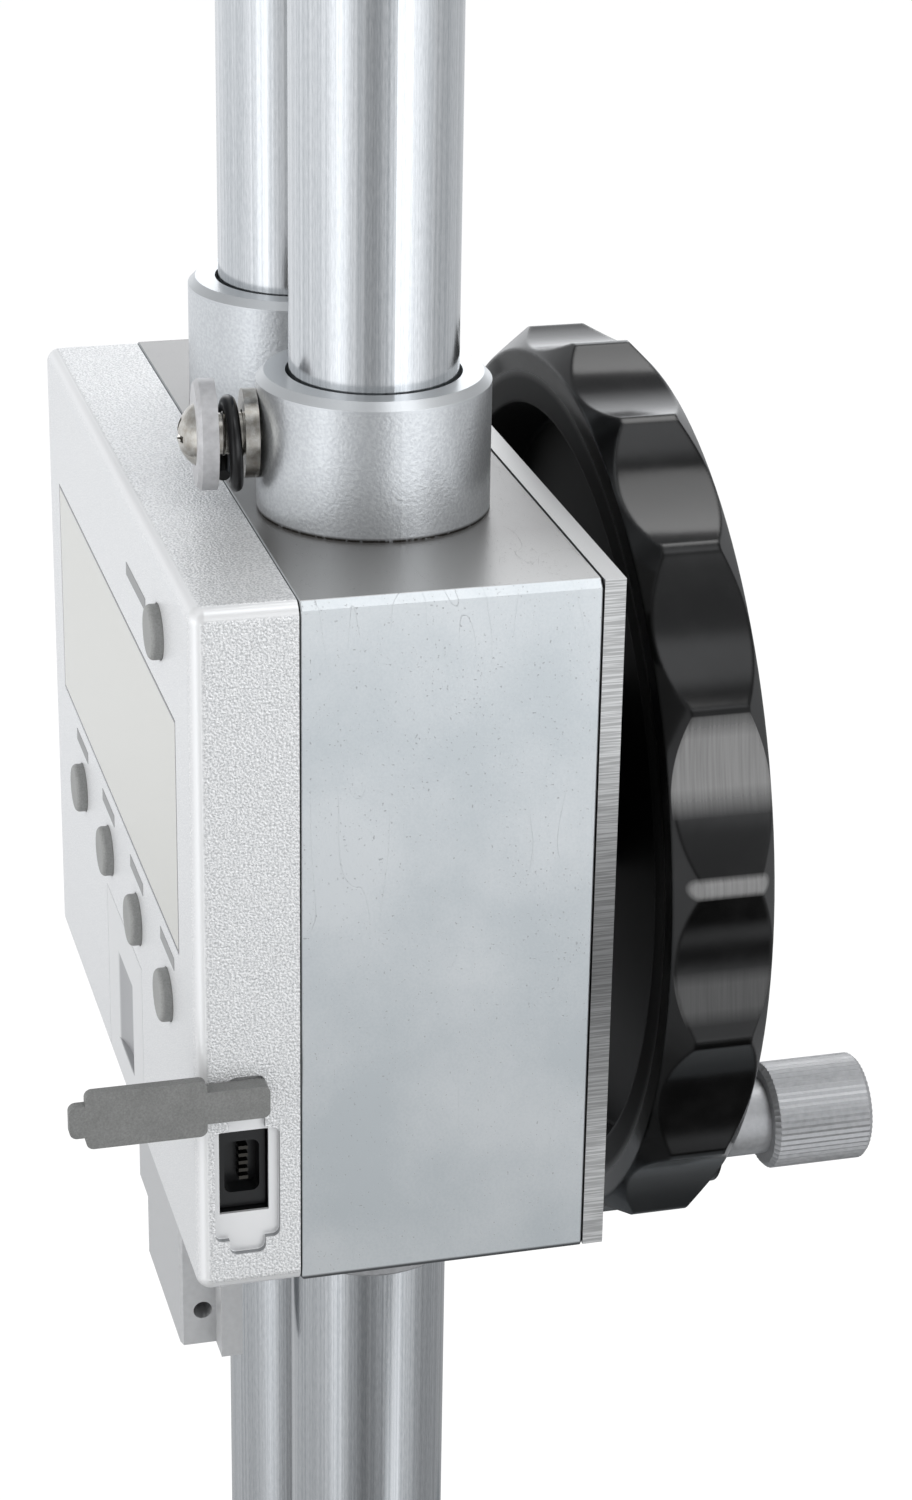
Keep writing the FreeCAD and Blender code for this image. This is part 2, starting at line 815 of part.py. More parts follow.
def involute_angle(radius, base_radius):
    """The polar angle that an involute has turned through at a radius."""
    roll = math.sqrt(max((radius / base_radius) ** 2 - 1, 0))
    return roll - math.atan(roll)


def pinion_teeth_body(y_start, length):
    """Involute teeth round the shaft's axis, one of them pointing at the rack."""
    base_radius = pinion_radius * math.cos(math.radians(pressure_angle))
    tip_radius = pinion_radius + pinion_addendum
    root_radius = pinion_radius - pinion_dedendum
    half_at_pitch = (math.pi / pinion_teeth) / 2 - tooth_backlash / (2 * pinion_radius)
    half_at_base = half_at_pitch + involute_angle(pinion_radius, base_radius)

    def point(radius, angle):
        return Vector(wheel_x + radius * math.cos(angle), y_start, wheel_height + radius * math.sin(angle))

    def flank(middle, side):
        places = []
        for share in range(4):
            radius = base_radius + (tip_radius - base_radius) * share / 3
            angle = middle + side * (half_at_base - involute_angle(radius, base_radius))
            places.append(point(radius, angle))
        curve = Part.BSplineCurve()
        curve.interpolate(places)
        return curve.toShape(), places[0], places[-1]

    edges = []
    for tooth in range(pinion_teeth):
        middle = math.pi + 2 * math.pi * tooth / pinion_teeth
        after = middle + 2 * math.pi / pinion_teeth
        rise, rise_foot, rise_tip = flank(middle, -1)
        fall, fall_foot, fall_tip = flank(middle, 1)
        root_start = point(root_radius, middle - half_at_base)
        root_end = point(root_radius, middle + half_at_base)
        next_start = point(root_radius, after - half_at_base)
        edges.append(Part.LineSegment(root_start, rise_foot).toShape())
        edges.append(rise)
        edges.append(Part.Arc(rise_tip, point(tip_radius, middle), fall_tip).toShape())
        edges.append(fall)
        edges.append(Part.LineSegment(fall_foot, root_end).toShape())
        valley = point(root_radius, (middle + after) / 2)
        edges.append(Part.Arc(root_end, valley, next_start).toShape())
    outline = Part.Wire(Part.__sortEdges__(edges))
    return Part.Face(outline).extrude(BACK * length)


def pinion_shaft():
    """One turned piece: cut teeth, journal, wheel seat with a flat, and a threaded end."""
    teeth_start = beam_back_y + piece_gap + pinion_face_gap
    teeth_end = slot_back_y - pinion_face_gap
    teeth = pinion_teeth_body(teeth_start, teeth_end - teeth_start)
    journal_radius = journal_diameter / 2
    seat_radius = wheel_seat_diameter / 2
    thread_radius = wheel_thread_diameter / 2
    seat_end = hub_back_y - wheel_seat_short
    thread_end = hub_back_y + wheel_washer_thickness + wheel_nut_height - wheel_nut_crown
    profile = [(0, teeth_end), (journal_radius, teeth_end), (journal_radius, hub_front_y),
               (seat_radius, hub_front_y), (seat_radius, seat_end), (thread_radius, seat_end),
               (thread_radius, thread_end), (0, thread_end)]
    body = turned(profile, wheel_centre, BACK).fuse(teeth)
    flat = bar((wheel_x - seat_radius, wheel_x + seat_radius), (hub_front_y, hub_back_y + cut_past),
               (wheel_height + seat_radius - wheel_seat_flat, wheel_height + seat_radius + cut_past))
    return body.cut(flat)


def shaft_bush():
    start = slot_back_y + assembly_gap
    return ring(shaft_bush_diameter, journal_diameter + 2 * running_clearance,
                wheel_centre + BACK * start, BACK, block_rear - start)


def drag_spring():
    """Disc spring that gives the wheel its drag, bent between the plate and the hub."""
    inner = journal_diameter / 2 + piece_gap
    outer = hub_diameter / 2 - drag_spring_inset
    low = plate_back_y + assembly_gap
    high = hub_front_y - drag_spring_gap
    profile = [(outer, low), (outer, low + drag_spring_thickness), (inner, high),
               (inner, high - drag_spring_thickness)]
    return turned(profile, wheel_centre, BACK)


def handwheel():
    rim_radius = wheel_diameter / 2
    ring_inner = rim_radius - rim_bevel_front - rim_ring_width
    back_ring = rim_radius - rim_bevel_back
    bore = wheel_seat_diameter / 2 + assembly_gap
    hub = hub_diameter / 2
    profile = [(bore, hub_front_y), (hub, hub_front_y), (hub + dish_slope / 2, web_front_y),
               (ring_inner - dish_slope, web_front_y), (ring_inner, rim_front_y),
               (rim_radius - rim_bevel_front, rim_front_y), (rim_radius, rim_front_y + rim_bevel_front),
               (rim_radius, rim_back_y - rim_bevel_back), (back_ring, rim_back_y),
               (ring_inner + dish_slope / 2, rim_back_y), (ring_inner - dish_slope, web_back_y),
               (hub + dish_slope, web_back_y), (hub, hub_back_y), (bore, hub_back_y)]
    body = turned(profile, wheel_centre, BACK)
    body.rotate(wheel_centre, FORWARD, scallop_phase)
    # Each finger hollow is part of a cylinder, and neighbours leave a narrow land on the rim.
    half_angle = math.pi / scallop_count - scallop_land / wheel_diameter
    half_chord = rim_radius * math.sin(half_angle)
    chord_distance = rim_radius * math.cos(half_angle)
    hollow_depth = chord_distance - (rim_radius - scallop_depth)
    hollow_radius = (half_chord ** 2 + hollow_depth ** 2) / (2 * hollow_depth)
    distance = rim_radius - scallop_depth + hollow_radius
    hollows = []
    for number in range(scallop_count):
        hollow = rod(2 * hollow_radius, Vector(wheel_x + distance, rim_front_y - cut_past, wheel_height),
                     BACK, rim_back_y - rim_front_y + 2 * cut_past)
        hollow.rotate(wheel_centre, FORWARD, scallop_phase + 360 * (number + 0.5) / scallop_count)
        hollows.append(hollow)
    body = body.cut(hollows)
    land_edges = edges_along(body, BACK, lambda middle: middle.distanceToPoint(
        Vector(wheel_x, middle.y, wheel_height)) > rim_radius - scallop_depth)
    body = body.makeFillet(scallop_edge_radius, land_edges)
    boss_foot = web_back_y - web_thickness / 2
    boss = rod(crank_boss_diameter, Vector(crank_x, boss_foot, crank_z), BACK,
               rim_back_y + crank_boss_rise - boss_foot)
    hole = rod(crank_stud_diameter, Vector(crank_x, web_front_y - cut_past, crank_z), BACK,
               rim_back_y - web_front_y + crank_boss_rise + 2 * cut_past)
    return body.fuse(boss).cut(hole)


def wheel_washer():
    return ring(wheel_washer_diameter, wheel_thread_diameter + 2 * shank_hole_gap,
                wheel_centre + BACK * hub_back_y, BACK, wheel_washer_thickness)


def wheel_nut():
    """Crowned nut on the shaft's end."""
    start = hub_back_y + wheel_washer_thickness
    flats_height = wheel_nut_height - wheel_nut_crown
    body = hexagon(wheel_nut_flats, wheel_centre + BACK * start, BACK, flats_height)
    shoulder = wheel_nut_flats / 2 - wheel_nut_shoulder
    tip = wheel_nut_crown_width / 2
    crown = turned([(0, 0), (shoulder, 0), (tip, wheel_nut_crown), (0, wheel_nut_crown)],
                   wheel_centre + BACK * (start + flats_height), BACK)
    thread = rod(wheel_thread_diameter + 2 * thread_gap, wheel_centre + BACK * start, BACK,
                 flats_height + thread_gap)
    return body.fuse(crown).cut(thread)


crank_foot_y = rim_back_y + crank_boss_rise
crank_neck_y = crank_foot_y + crank_ring_height + crank_end_play
crank_grip_y = crank_neck_y + crank_neck_length
crank_end_y = crank_grip_y + crank_grip_length


def crank_axle():
    """Shouldered stud with a slotted head sunk in the grip's end."""
    stud = crank_stud_diameter / 2 - thread_gap
    collar_r = crank_ring_diameter / 2
    pin = crank_pin_diameter / 2
    head = crank_head_diameter / 2
    head_y = crank_end_y - crank_head_sink - crank_head_height
    stud_y = web_front_y + crank_stud_short
    profile = [(0, stud_y), (stud, stud_y), (stud, crank_foot_y),
               (collar_r, crank_foot_y), (collar_r, crank_foot_y + crank_ring_height),
               (pin, crank_foot_y + crank_ring_height), (pin, head_y), (head, head_y),
               (head, head_y + crank_head_height), (0, head_y + crank_head_height)]
    body = turned(profile, Vector(crank_x, 0, crank_z), BACK)
    slot = bar((crank_x - head, crank_x + head), (head_y + crank_head_height - crank_slot_depth, crank_end_y),
               (crank_z - crank_slot_width / 2, crank_z + crank_slot_width / 2))
    return body.cut(slot)


def crank_grip():
    """Neck and grip turned as one, free on its axle."""
    bore = crank_pin_diameter / 2 + running_clearance
    pocket = crank_head_diameter / 2 + piece_gap
    pocket_y = crank_end_y - crank_head_sink - crank_head_height - crank_end_play
    neck = crank_neck_diameter / 2
    grip = crank_grip_diameter / 2
    profile = [(bore, crank_neck_y), (neck, crank_neck_y), (neck, crank_grip_y),
               (grip - crank_chamfer, crank_grip_y), (grip, crank_grip_y + crank_chamfer),
               (grip, crank_end_y - crank_chamfer), (grip - crank_chamfer, crank_end_y),
               (pocket, crank_end_y), (pocket, pocket_y), (bore, pocket_y)]
    return turned(profile, Vector(crank_x, 0, crank_z), BACK)


# Display housing and what it holds

def housing_outer():
    """The moulding's outside, rounded along its front and its sides."""
    body = bar((-half_block, half_block), (housing_front_y, -block_front), (-housing_drop, block_height))
    rounded = edges_along(body, BACK)
    rounded += edges_along(body, UP, lambda p: p.y < housing_front_y + 1e-3)
    rounded += edges_along(body, RIGHT, lambda p: p.y < housing_front_y + 1e-3)
    return body.makeFillet(housing_edge_radius, rounded)


def window_span():
    return (-window_width / 2, window_width / 2), (window_bottom, window_top)


def grown(span, amount):
    return span[0] - amount, span[1] + amount


def rounded_patch(x_span, y_span, z_span, radius):
    """A flat patch on the side wall with rounded corners."""
    body = bar(x_span, y_span, z_span)
    return body.makeFillet(radius, edges_along(body, RIGHT))


def cover_span():
    return cover_x - cover_width / 2, cover_x + cover_width / 2


def button_places():
    places = [(button_row_start + button_pitch * step, button_row_height)
              for step in range(button_row_count)]
    places.append((button_single_x, button_single_height))
    return places


def board_post_places():
    return screw_places(board_post_x, board_post_low, board_post_high)


def flap_recess():
    """Shallow bed that the flap's outline lies in when it is shut."""
    outside = (half_block - flap_recess_depth, half_block + cut_past)
    half_body = flap_body_width / 2 + piece_gap
    half_tongue = flap_tongue_width / 2 + moulding_gap
    body_top = flap_pivot_height - flap_body_start + piece_gap
    body_bottom = flap_pivot_height - flap_body_start - flap_body_length - piece_gap
    tongue_top = flap_pivot_height + flap_tongue_start
    tab_bottom = body_bottom - flap_tab_length
    bed = rounded_patch(outside, (flap_pivot_y - half_body, flap_pivot_y + half_body),
                        (body_bottom, body_top), flap_corner_radius)
    strip = rounded_patch(outside, (flap_pivot_y - half_tongue, flap_pivot_y + half_tongue),
                          (tab_bottom, tongue_top), flap_corner_radius)
    return bed.fuse(strip)


def port_limits():
    return ((port_y - port_width / 2, port_y + port_width / 2),
            (port_bottom, port_bottom + port_height))


def battery_seat():
    """Round tray behind the cover, standing on the housing's floor."""
    back = housing_front_y + cover_thickness + piece_gap + battery_thickness + clip_thickness
    outer = battery_diameter + 2 * (battery_side_gap + battery_seat_wall)
    centre = Vector(cover_x, back + battery_seat_floor, battery_height)
    rim = rod(outer, centre, FORWARD, back + battery_seat_floor - housing_inner_y)
    well = rod(battery_diameter + 2 * battery_side_gap, Vector(cover_x, back, battery_height), FORWARD,
               back - housing_inner_y + cut_past)
    rib = bar((cover_x - battery_rib_width / 2, cover_x + battery_rib_width / 2),
              (housing_inner_y - root_depth, back + battery_seat_floor),
              (battery_height + outer / 2 - battery_seat_wall, cover_top + cover_rib_room))
    slit = bar((cover_x - clip_width / 2 - piece_gap, cover_x + clip_width / 2 + piece_gap),
               (back - cut_past, back + battery_seat_floor + cut_past),
               (battery_height + battery_diameter / 4, battery_height + battery_diameter / 2))
    return rim.fuse(rib).cut([well, slit])


def housing():
    shell = housing_outer()
    room = bar((-half_block + housing_wall, half_block - housing_wall),
               (housing_inner_y, -block_front + cut_past),
               (housing_wall - housing_drop, block_height - housing_wall))
    shell = shell.cut(room)
    port_span_y, port_span_z = port_limits()
    tunnel = bar((half_block - port_tunnel_start, half_block - housing_wall + root_depth),
                 (housing_inner_y - root_depth, port_span_y[1] + port_tunnel_wall),
                 grown(port_span_z, port_tunnel_wall))
    adds = [tunnel, battery_seat()]
    for x, z in housing_screw_places():
        adds.append(rod(housing_boss_diameter, Vector(x, housing_inner_y - root_depth, z), BACK,
                        -block_front - housing_inner_y + root_depth))
    for x, z in board_post_places():
        adds.append(rod(board_post_diameter, Vector(x, housing_inner_y - root_depth, z), BACK,
                        board_front_y - housing_inner_y + root_depth))
    shell = shell.fuse(adds)
    window_x, window_z = window_span()
    outside_y = housing_front_y - cut_past
    cuts = [bar(window_x, (outside_y, housing_front_y + window_thickness), window_z),
            bar(grown(window_x, -window_ledge), (outside_y, housing_inner_y + cut_past),
                grown(window_z, -window_ledge)),
            flap_recess(),
            bar((half_block - port_tunnel_start - cut_past, half_block + cut_past), port_span_y, port_span_z)]
    cuts.append(rod(flap_peg_diameter + 2 * running_clearance,
                    Vector(half_block - housing_wall - cut_past, flap_pivot_y, flap_pivot_height), RIGHT,
                    housing_wall + 2 * cut_past))
    for x, z in button_places():
        cuts.append(rod(button_diameter + 2 * moulding_gap, Vector(x, outside_y, z), BACK,
                        housing_wall + 2 * cut_past))
    for x, z in housing_screw_places():
        cuts.append(rod(housing_screw_diameter, Vector(x, -block_front, z), FORWARD,
                        housing_screw_length - housing_screw_web + housing_thread_room))
    for x, z in board_post_places():
        cuts.append(rod(board_screw_diameter, Vector(x, board_front_y, z), FORWARD,
                        board_screw_grip + board_screw_room))
    # The battery opening, its two guide grooves and the slot for the jaw plate
    under = -housing_drop - cut_past
    cuts.append(bar(cover_span(), (outside_y, housing_front_y + cover_thickness + moulding_gap),
                    (under, cover_top)))
    cuts.append(rod(battery_diameter + 2 * battery_side_gap,
                    Vector(cover_x, housing_inner_y + cut_past, battery_height), FORWARD,
                    housing_wall + 2 * cut_past))
    groove_middle = housing_front_y + cover_thickness / 2
    groove_half = cover_tongue_thickness / 2 + moulding_gap
    cuts.append(bar(grown(cover_span(), cover_tongue + moulding_gap),
                    (groove_middle - groove_half, groove_middle + groove_half),
                    (under, cover_top - moulding_gap)))
    notch_half = jaw_plate_width / 2 + piece_gap
    cuts.append(bar((-notch_half, notch_half), (jaw_plate_front_y - piece_gap, -block_front + cut_past),
                    (under, housing_wall)))
    return shell.cut(cuts)


def housing_screws():
    return group([cap_screw(Vector(x, -block_front + housing_screw_web, z), FORWARD, housing_screw_diameter,
                            housing_screw_length, 2 * housing_screw_diameter, housing_screw_diameter)
                  for x, z in housing_screw_places()])


def lcd_window():
    window_x, window_z = window_span()
    return bar(grown(window_x, -moulding_gap), (housing_front_y, housing_front_y + window_thickness),
               grown(window_z, -moulding_gap))


def lcd_panel():
    window_x, window_z = window_span()
    start = housing_inner_y + assembly_gap
    return bar(grown(window_x, panel_margin), (start, start + panel_thickness),
               grown(window_z, panel_margin))


def zebra_strips():
    window_x, window_z = window_span()
    start = housing_inner_y + assembly_gap + panel_thickness
    low = window_z[0] - zebra_width / 2
    high = window_z[1] - zebra_width / 2
    return group([bar(grown(window_x, -zebra_end_inset), (start, board_front_y), (z, z + zebra_width))
                  for z in (low, high)])


def main_board():
    """Circuit board with a leg beside the jaw plate for the data port."""
    board = bar((-board_half_width, board_half_width), (board_front_y, board_back_y),
                (board_bottom, board_top))
    leg = bar((board_leg_start, board_half_width), (board_front_y, board_back_y),
              (board_leg_bottom, board_bottom + board_overlap))
    holes = [rod(board_screw_diameter + 2 * assembly_gap, Vector(x, board_front_y - cut_past, z), BACK,
                 board_thickness + 2 * cut_past) for x, z in board_post_places()]
    return board.fuse(leg).cut(holes).removeSplitter()


def board_screws():
    return group([cap_screw(Vector(x, board_back_y, z), FORWARD, board_screw_diameter,
                            board_thickness + board_screw_grip, board_screw_head_diameter,
                            board_screw_head_height)
                  for x, z in board_post_places()])


def carrier_screw_heights():
    return reader_bottom - reader_flange, reader_top + reader_flange


reader_board_back_y = strip_front_y - reader_gap
reader_board_front_y = reader_board_back_y - reader_board_thickness


def reader_carrier():
    """Moulded frame that holds the reader board close to the scale."""
    outer_half = reader_half_width - assembly_gap
    frame = bar((-outer_half, outer_half), (-block_front, reader_board_front_y),
                (reader_bottom + assembly_gap, reader_top - assembly_gap))
    flange_half = reader_half_width + reader_flange - assembly_gap
    flange = bar((-flange_half, flange_half), (-block_front, -block_front + reader_flange_depth),
                 (reader_bottom - 2 * reader_flange + assembly_gap,
                  reader_top + 2 * reader_flange - assembly_gap))
    room = bar((-outer_half + reader_wall, outer_half - reader_wall),
               (-block_front - cut_past, reader_board_front_y + cut_past),
               (reader_bottom + reader_wall, reader_top - reader_wall))
    holes = [rod(board_screw_diameter + 2 * assembly_gap, Vector(0, -block_front - cut_past, z), BACK,
                 reader_flange_depth + 2 * cut_past) for z in carrier_screw_heights()]
    return frame.fuse(flange).cut([room] + holes)


def carrier_screws():
    return group([cap_screw(Vector(0, -block_front, z), BACK, board_screw_diameter,
                            reader_flange_depth + reader_screw_grip, reader_screw_head_diameter,
                            reader_screw_head_height)
                  for z in carrier_screw_heights()])


def reader_board():
    half = reader_half_width - piece_gap
    return bar((-half, half), (reader_board_front_y, reader_board_back_y),
               (reader_bottom + piece_gap, reader_top - piece_gap))


def button(x, z):
    """Rubber cap with a flange behind the wall and a stem that reaches for the board."""
    cap_radius = button_diameter / 2
    flange_radius = cap_radius + button_flange
    flange_y = housing_inner_y + assembly_gap
    stem_end = board_front_y - button_travel - moulding_gap
    stem_radius = button_stem_diameter / 2
    top = housing_front_y - button_proud
    profile = [(0, top), (cap_radius, top), (cap_radius, flange_y), (flange_radius, flange_y),
               (flange_radius, flange_y + button_flange_thickness),
               (stem_radius, flange_y + button_flange_thickness), (stem_radius, stem_end), (0, stem_end)]
    body = turned(profile, Vector(x, 0, z), BACK)
    rim = [edge for edge in body.Edges if abs(edge.BoundBox.YMax - top) < 1e-3 and edge.Length > cap_radius]
    return body.makeFillet(button_edge_radius, rim)


def port_connector():
    """Black socket on the board's leg with a rounded mouth."""
    span_y, span_z = port_limits()
    face_x = half_block - port_depth
    inner_y = grown(span_y, -moulding_gap)
    inner_z = grown(span_z, -moulding_gap)
    front = bar((face_x - socket_front_length, face_x), inner_y, inner_z)
    rear = bar((face_x - socket_body_length, board_half_width - assembly_gap), (inner_y[0], board_front_y),
               inner_z)
    middle_z = port_bottom + port_height / 2
    mouth = rounded_patch((face_x - socket_depth, face_x + cut_past),
                          (port_y - socket_width / 2, port_y + socket_width / 2),
                          (middle_z - socket_height / 2, middle_z + socket_height / 2), flap_corner_radius)
    return front.fuse(rear).cut(mouth)


def port_contacts():
    """Row of pins that stand on the floor of the socket's mouth."""
    foot_x = half_block - port_depth - socket_depth
    middle_z = port_bottom + port_height / 2
    pins = []
    for step in range(contact_count):
        z = middle_z + (step - (contact_count - 1) / 2) * contact_pitch
        pins.append(bar((foot_x, foot_x + contact_length),
                        (port_y - contact_drop, port_y - contact_drop + contact_thickness),
                        (z - contact_width / 2, z + contact_width / 2)))
    return group(pins)


def port_flap():
    """Rubber flap, swung open as it hangs by its tongue; a peg holds it in the side wall."""
    near = half_block + piece_gap
    far = near + flap_plug_thickness + flap_cover_thickness
    cover_x_span = (near + flap_plug_thickness, far)

    def strip(x_span, start, end, width, radius):
        return rounded_patch(x_span, (flap_pivot_y - end, flap_pivot_y - start),
                             (flap_pivot_height - width / 2, flap_pivot_height + width / 2), radius)

    body_end = flap_body_start + flap_body_length
    tongue = strip((near, far), -flap_tongue_start, flap_body_start + flap_tongue_lap, flap_tongue_width,
                   flap_corner_radius)
    cover = strip(cover_x_span, flap_body_start, body_end, flap_body_width, flap_corner_radius)
    tab = strip(cover_x_span, body_end - flap_tab_lap, body_end + flap_tab_length, flap_tongue_width,
                flap_corner_radius)
    plug = strip((near, far), flap_body_start + flap_plug_inset, body_end - flap_plug_inset,
                 flap_body_width - 2 * flap_plug_inset, flap_corner_radius)
    wall_x = half_block - housing_wall
    peg = rod(flap_peg_diameter, Vector(wall_x - flap_peg_reach, flap_pivot_y, flap_pivot_height), RIGHT,
              near + root_depth - wall_x + flap_peg_reach)
    bead_x = wall_x - flap_bead_gap - flap_bead_length
    bead = rod(flap_peg_diameter + 2 * flap_bead_rim, Vector(bead_x, flap_pivot_y, flap_pivot_height), RIGHT,
               flap_bead_length)
    return tongue.fuse([cover, tab, plug, peg, bead]).removeSplitter()


def battery():
    start = housing_front_y + cover_thickness + piece_gap
    rim = battery_rim
    radius = battery_diameter / 2
    profile = [(0, start), (radius - 2 * rim, start), (radius - 2 * rim, start + rim),
               (radius, start + 2 * rim),
               (radius, start + battery_thickness), (0, start + battery_thickness)]
    return turned(profile, Vector(cover_x, 0, battery_height), BACK)


def battery_clips():
    """Two sheet-metal contacts: one under the cell, one on its edge, both reaching up to the board."""
    back = housing_front_y + cover_thickness + piece_gap + battery_thickness
    middle = battery_height
    top = board_bottom + clip_foot_rise
    half = clip_width / 2
    width = (cover_x - half, cover_x + half)
    floor_end = middle + battery_diameter / 4 + clip_overlap
    step_y = back + battery_seat_floor + clip_step
    leaf = bar(width, (back, back + clip_thickness), (middle - clip_reach, floor_end))
    through = bar(width, (back, step_y + clip_thickness), (floor_end, floor_end + clip_thickness))
    riser = bar(width, (step_y, step_y + clip_thickness), (floor_end, top))
    foot = bar(width, (step_y, board_front_y), (top, top + clip_thickness))
    minus = leaf.fuse([through, riser, foot]).removeSplitter()
    side_x = cover_x + battery_diameter / 2 + battery_side_gap + battery_seat_wall + assembly_gap
    side = (side_x, side_x + clip_thickness)
    side_leaf = bar(side, (back - clip_side_depth, board_front_y), (middle - half, middle + half))
    side_riser = bar(side, (board_front_y - clip_overlap, board_front_y), (middle + half, top))
    plus = side_leaf.fuse(side_riser).removeSplitter()
    return group([minus, plus])


def battery_cover():
    """Sliding cover in the front face, with a thumb scoop and a tongue along each side."""
    span = grown(cover_span(), -moulding_gap)
    patch = bar(span, (housing_front_y - cut_past, housing_front_y + cover_thickness),
                (-housing_drop - cut_past, cover_top - moulding_gap))
    body = housing_outer().common(patch)
    middle = housing_front_y + cover_thickness / 2
    tongues = bar(grown(cover_span(), cover_tongue - moulding_gap),
                  (middle - cover_tongue_thickness / 2, middle + cover_tongue_thickness / 2),
                  (housing_edge_radius, cover_top - 3 * moulding_gap))
    scoop_centre = Vector(cover_x, housing_front_y + scoop_depth - scoop_radius, scoop_bottom)
    scoop = rod(2 * scoop_radius, scoop_centre, UP, scoop_height)
    return body.fuse(tongues).cut(scoop)


# The jaw under the head

def jaw_plate():
    body = bar((-jaw_plate_width / 2, jaw_plate_width / 2), (jaw_plate_front_y, -block_front),
               (-jaw_drop, jaw_plate_top))
    cuts = [flat_screw_seat(Vector(x, jaw_plate_front_y, z), BACK, jaw_screw_diameter,
                            jaw_plate_thickness + cut_past) for x, z in jaw_screw_places()]
    for side in (-1, 1):
        cuts.append(flat_screw_seat(Vector(side * stub_screw_spacing / 2, -block_front, -stub_screw_drop),
                                    FORWARD, stub_screw_diameter, jaw_plate_thickness + cut_past))
    return body.cut(cuts)


def jaw_plate_screws():
    return group([flat_screw(Vector(x, jaw_plate_front_y, z), BACK, jaw_screw_diameter, jaw_screw_length)
                  for x, z in jaw_screw_places()])


def jaw_screws():
    return group(at_both_sides(stub_screw_spacing / 2, lambda x: flat_screw(
        Vector(x, -block_front, -stub_screw_drop), FORWARD, stub_screw_diameter, stub_screw_length)))


def measuring_jaw():
    """Jaw with a shoulder on its left and, in its right side, a cross hole for the scriber's screw."""
    span_y = (jaw_front_y, jaw_plate_front_y)
    shoulder = bar((jaw_width / 2 - jaw_shoulder_width, jaw_width / 2), span_y,
                   (-jaw_shoulder_drop, -jaw_top_drop))
    stub = bar((-jaw_width / 2, jaw_width / 2), span_y, (-jaw_drop, -jaw_shoulder_drop))
    body = shoulder.fuse(stub).removeSplitter()
    front_edges = [edge for edge in body.Edges if abs(edge.CenterOfMass.y - jaw_front_y) < 1e-3]
    body = body.makeChamfer(jaw_chamfer, front_edges)
    cuts = at_both_sides(stub_screw_spacing / 2, lambda x: rod(
        stub_screw_diameter, Vector(x, jaw_plate_front_y, -stub_screw_drop), FORWARD,
        stub_screw_length - jaw_plate_thickness + stub_thread_room))
    cuts.append(rod(scriber_hole_diameter,
                    Vector(jaw_width / 2 - scriber_hole_depth, jaw_front_y + scriber_hole_back,
                           scriber_hole_up - jaw_drop), RIGHT, scriber_hole_depth + cut_past))
    return body.cut(cuts)


def save(name, shape, lift=0.0):
    """Writes one node, lifted to its place."""
    shape = shape.copy()
    shape.translate(UP * lift)
    shape.exportStep("parts/" + name + ".step")


standing = {
    "base": base(),
    "column_right": column(1),
    "column_left": column(-1),
    "column_screws": column_screws(),
    "scale_beam": scale_beam(),
    "scale_strip": scale_strip(),
    "rack": rack(),
    "top_bridge": top_bridge(),
    "bridge_screws": bridge_screws(),
}

on_head = {
    "head_block": head_block(),
    "upper_bushes": upper_bushes(),
    "lower_bushes": lower_bushes(),
    "clamp_collar": clamp_collar(),
    "plain_collar": collar(-1),
    "clamp_shoe": clamp_shoe(),
    "clamp_washer": clamp_washer(),
    "clamp_spring": clamp_spring(),
    "clamp_screw": clamp_screw(),
    "clamp_knob": clamp_knob(),
    "back_plate": back_plate(),
    "back_plate_screws": back_plate_screws(),
    "shaft_bush": shaft_bush(),
    "drag_spring": drag_spring(),
    "pinion_shaft": pinion_shaft(),
    "handwheel": handwheel(),
    "wheel_washer": wheel_washer(),
    "wheel_nut": wheel_nut(),
    "crank_axle": crank_axle(),
    "crank_grip": crank_grip(),
    "housing": housing(),
    "housing_screws": housing_screws(),
    "lcd_window": lcd_window(),
    "lcd_panel": lcd_panel(),
    "zebra_strips": zebra_strips(),
    "main_board": main_board(),
    "board_screws": board_screws(),
    "reader_carrier": reader_carrier(),
    "reader_board": reader_board(),
    "carrier_screws": carrier_screws(),
    "port_connector": port_connector(),
    "port_contacts": port_contacts(),
    "port_flap": port_flap(),
    "battery": battery(),
    "battery_clips": battery_clips(),
    "battery_cover": battery_cover(),
    "jaw_plate": jaw_plate(),
    "jaw_plate_screws": jaw_plate_screws(),
    "measuring_jaw": measuring_jaw(),
    "jaw_screws": jaw_screws(),
}

for number, (x, z) in enumerate(button_places(), start=1):
    on_head["button_" + str(number)] = button(x, z)

for name, shape in standing.items():
    save(name, shape)

for name, shape in on_head.items():
    save(name, shape, head_rest)
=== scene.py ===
# %% [markdown]
# # A digital height gauge
#
# The gauge is a sliding head on two ground columns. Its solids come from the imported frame, at their real
# size. This lesson gives each of them its finish, adds the details that are too fine for a solid, and
# sets up a plain studio seen from the gauge's right-hand side.

# %% Load the frame
import math

import bmesh
import bpy
from mathutils import Matrix, Vector


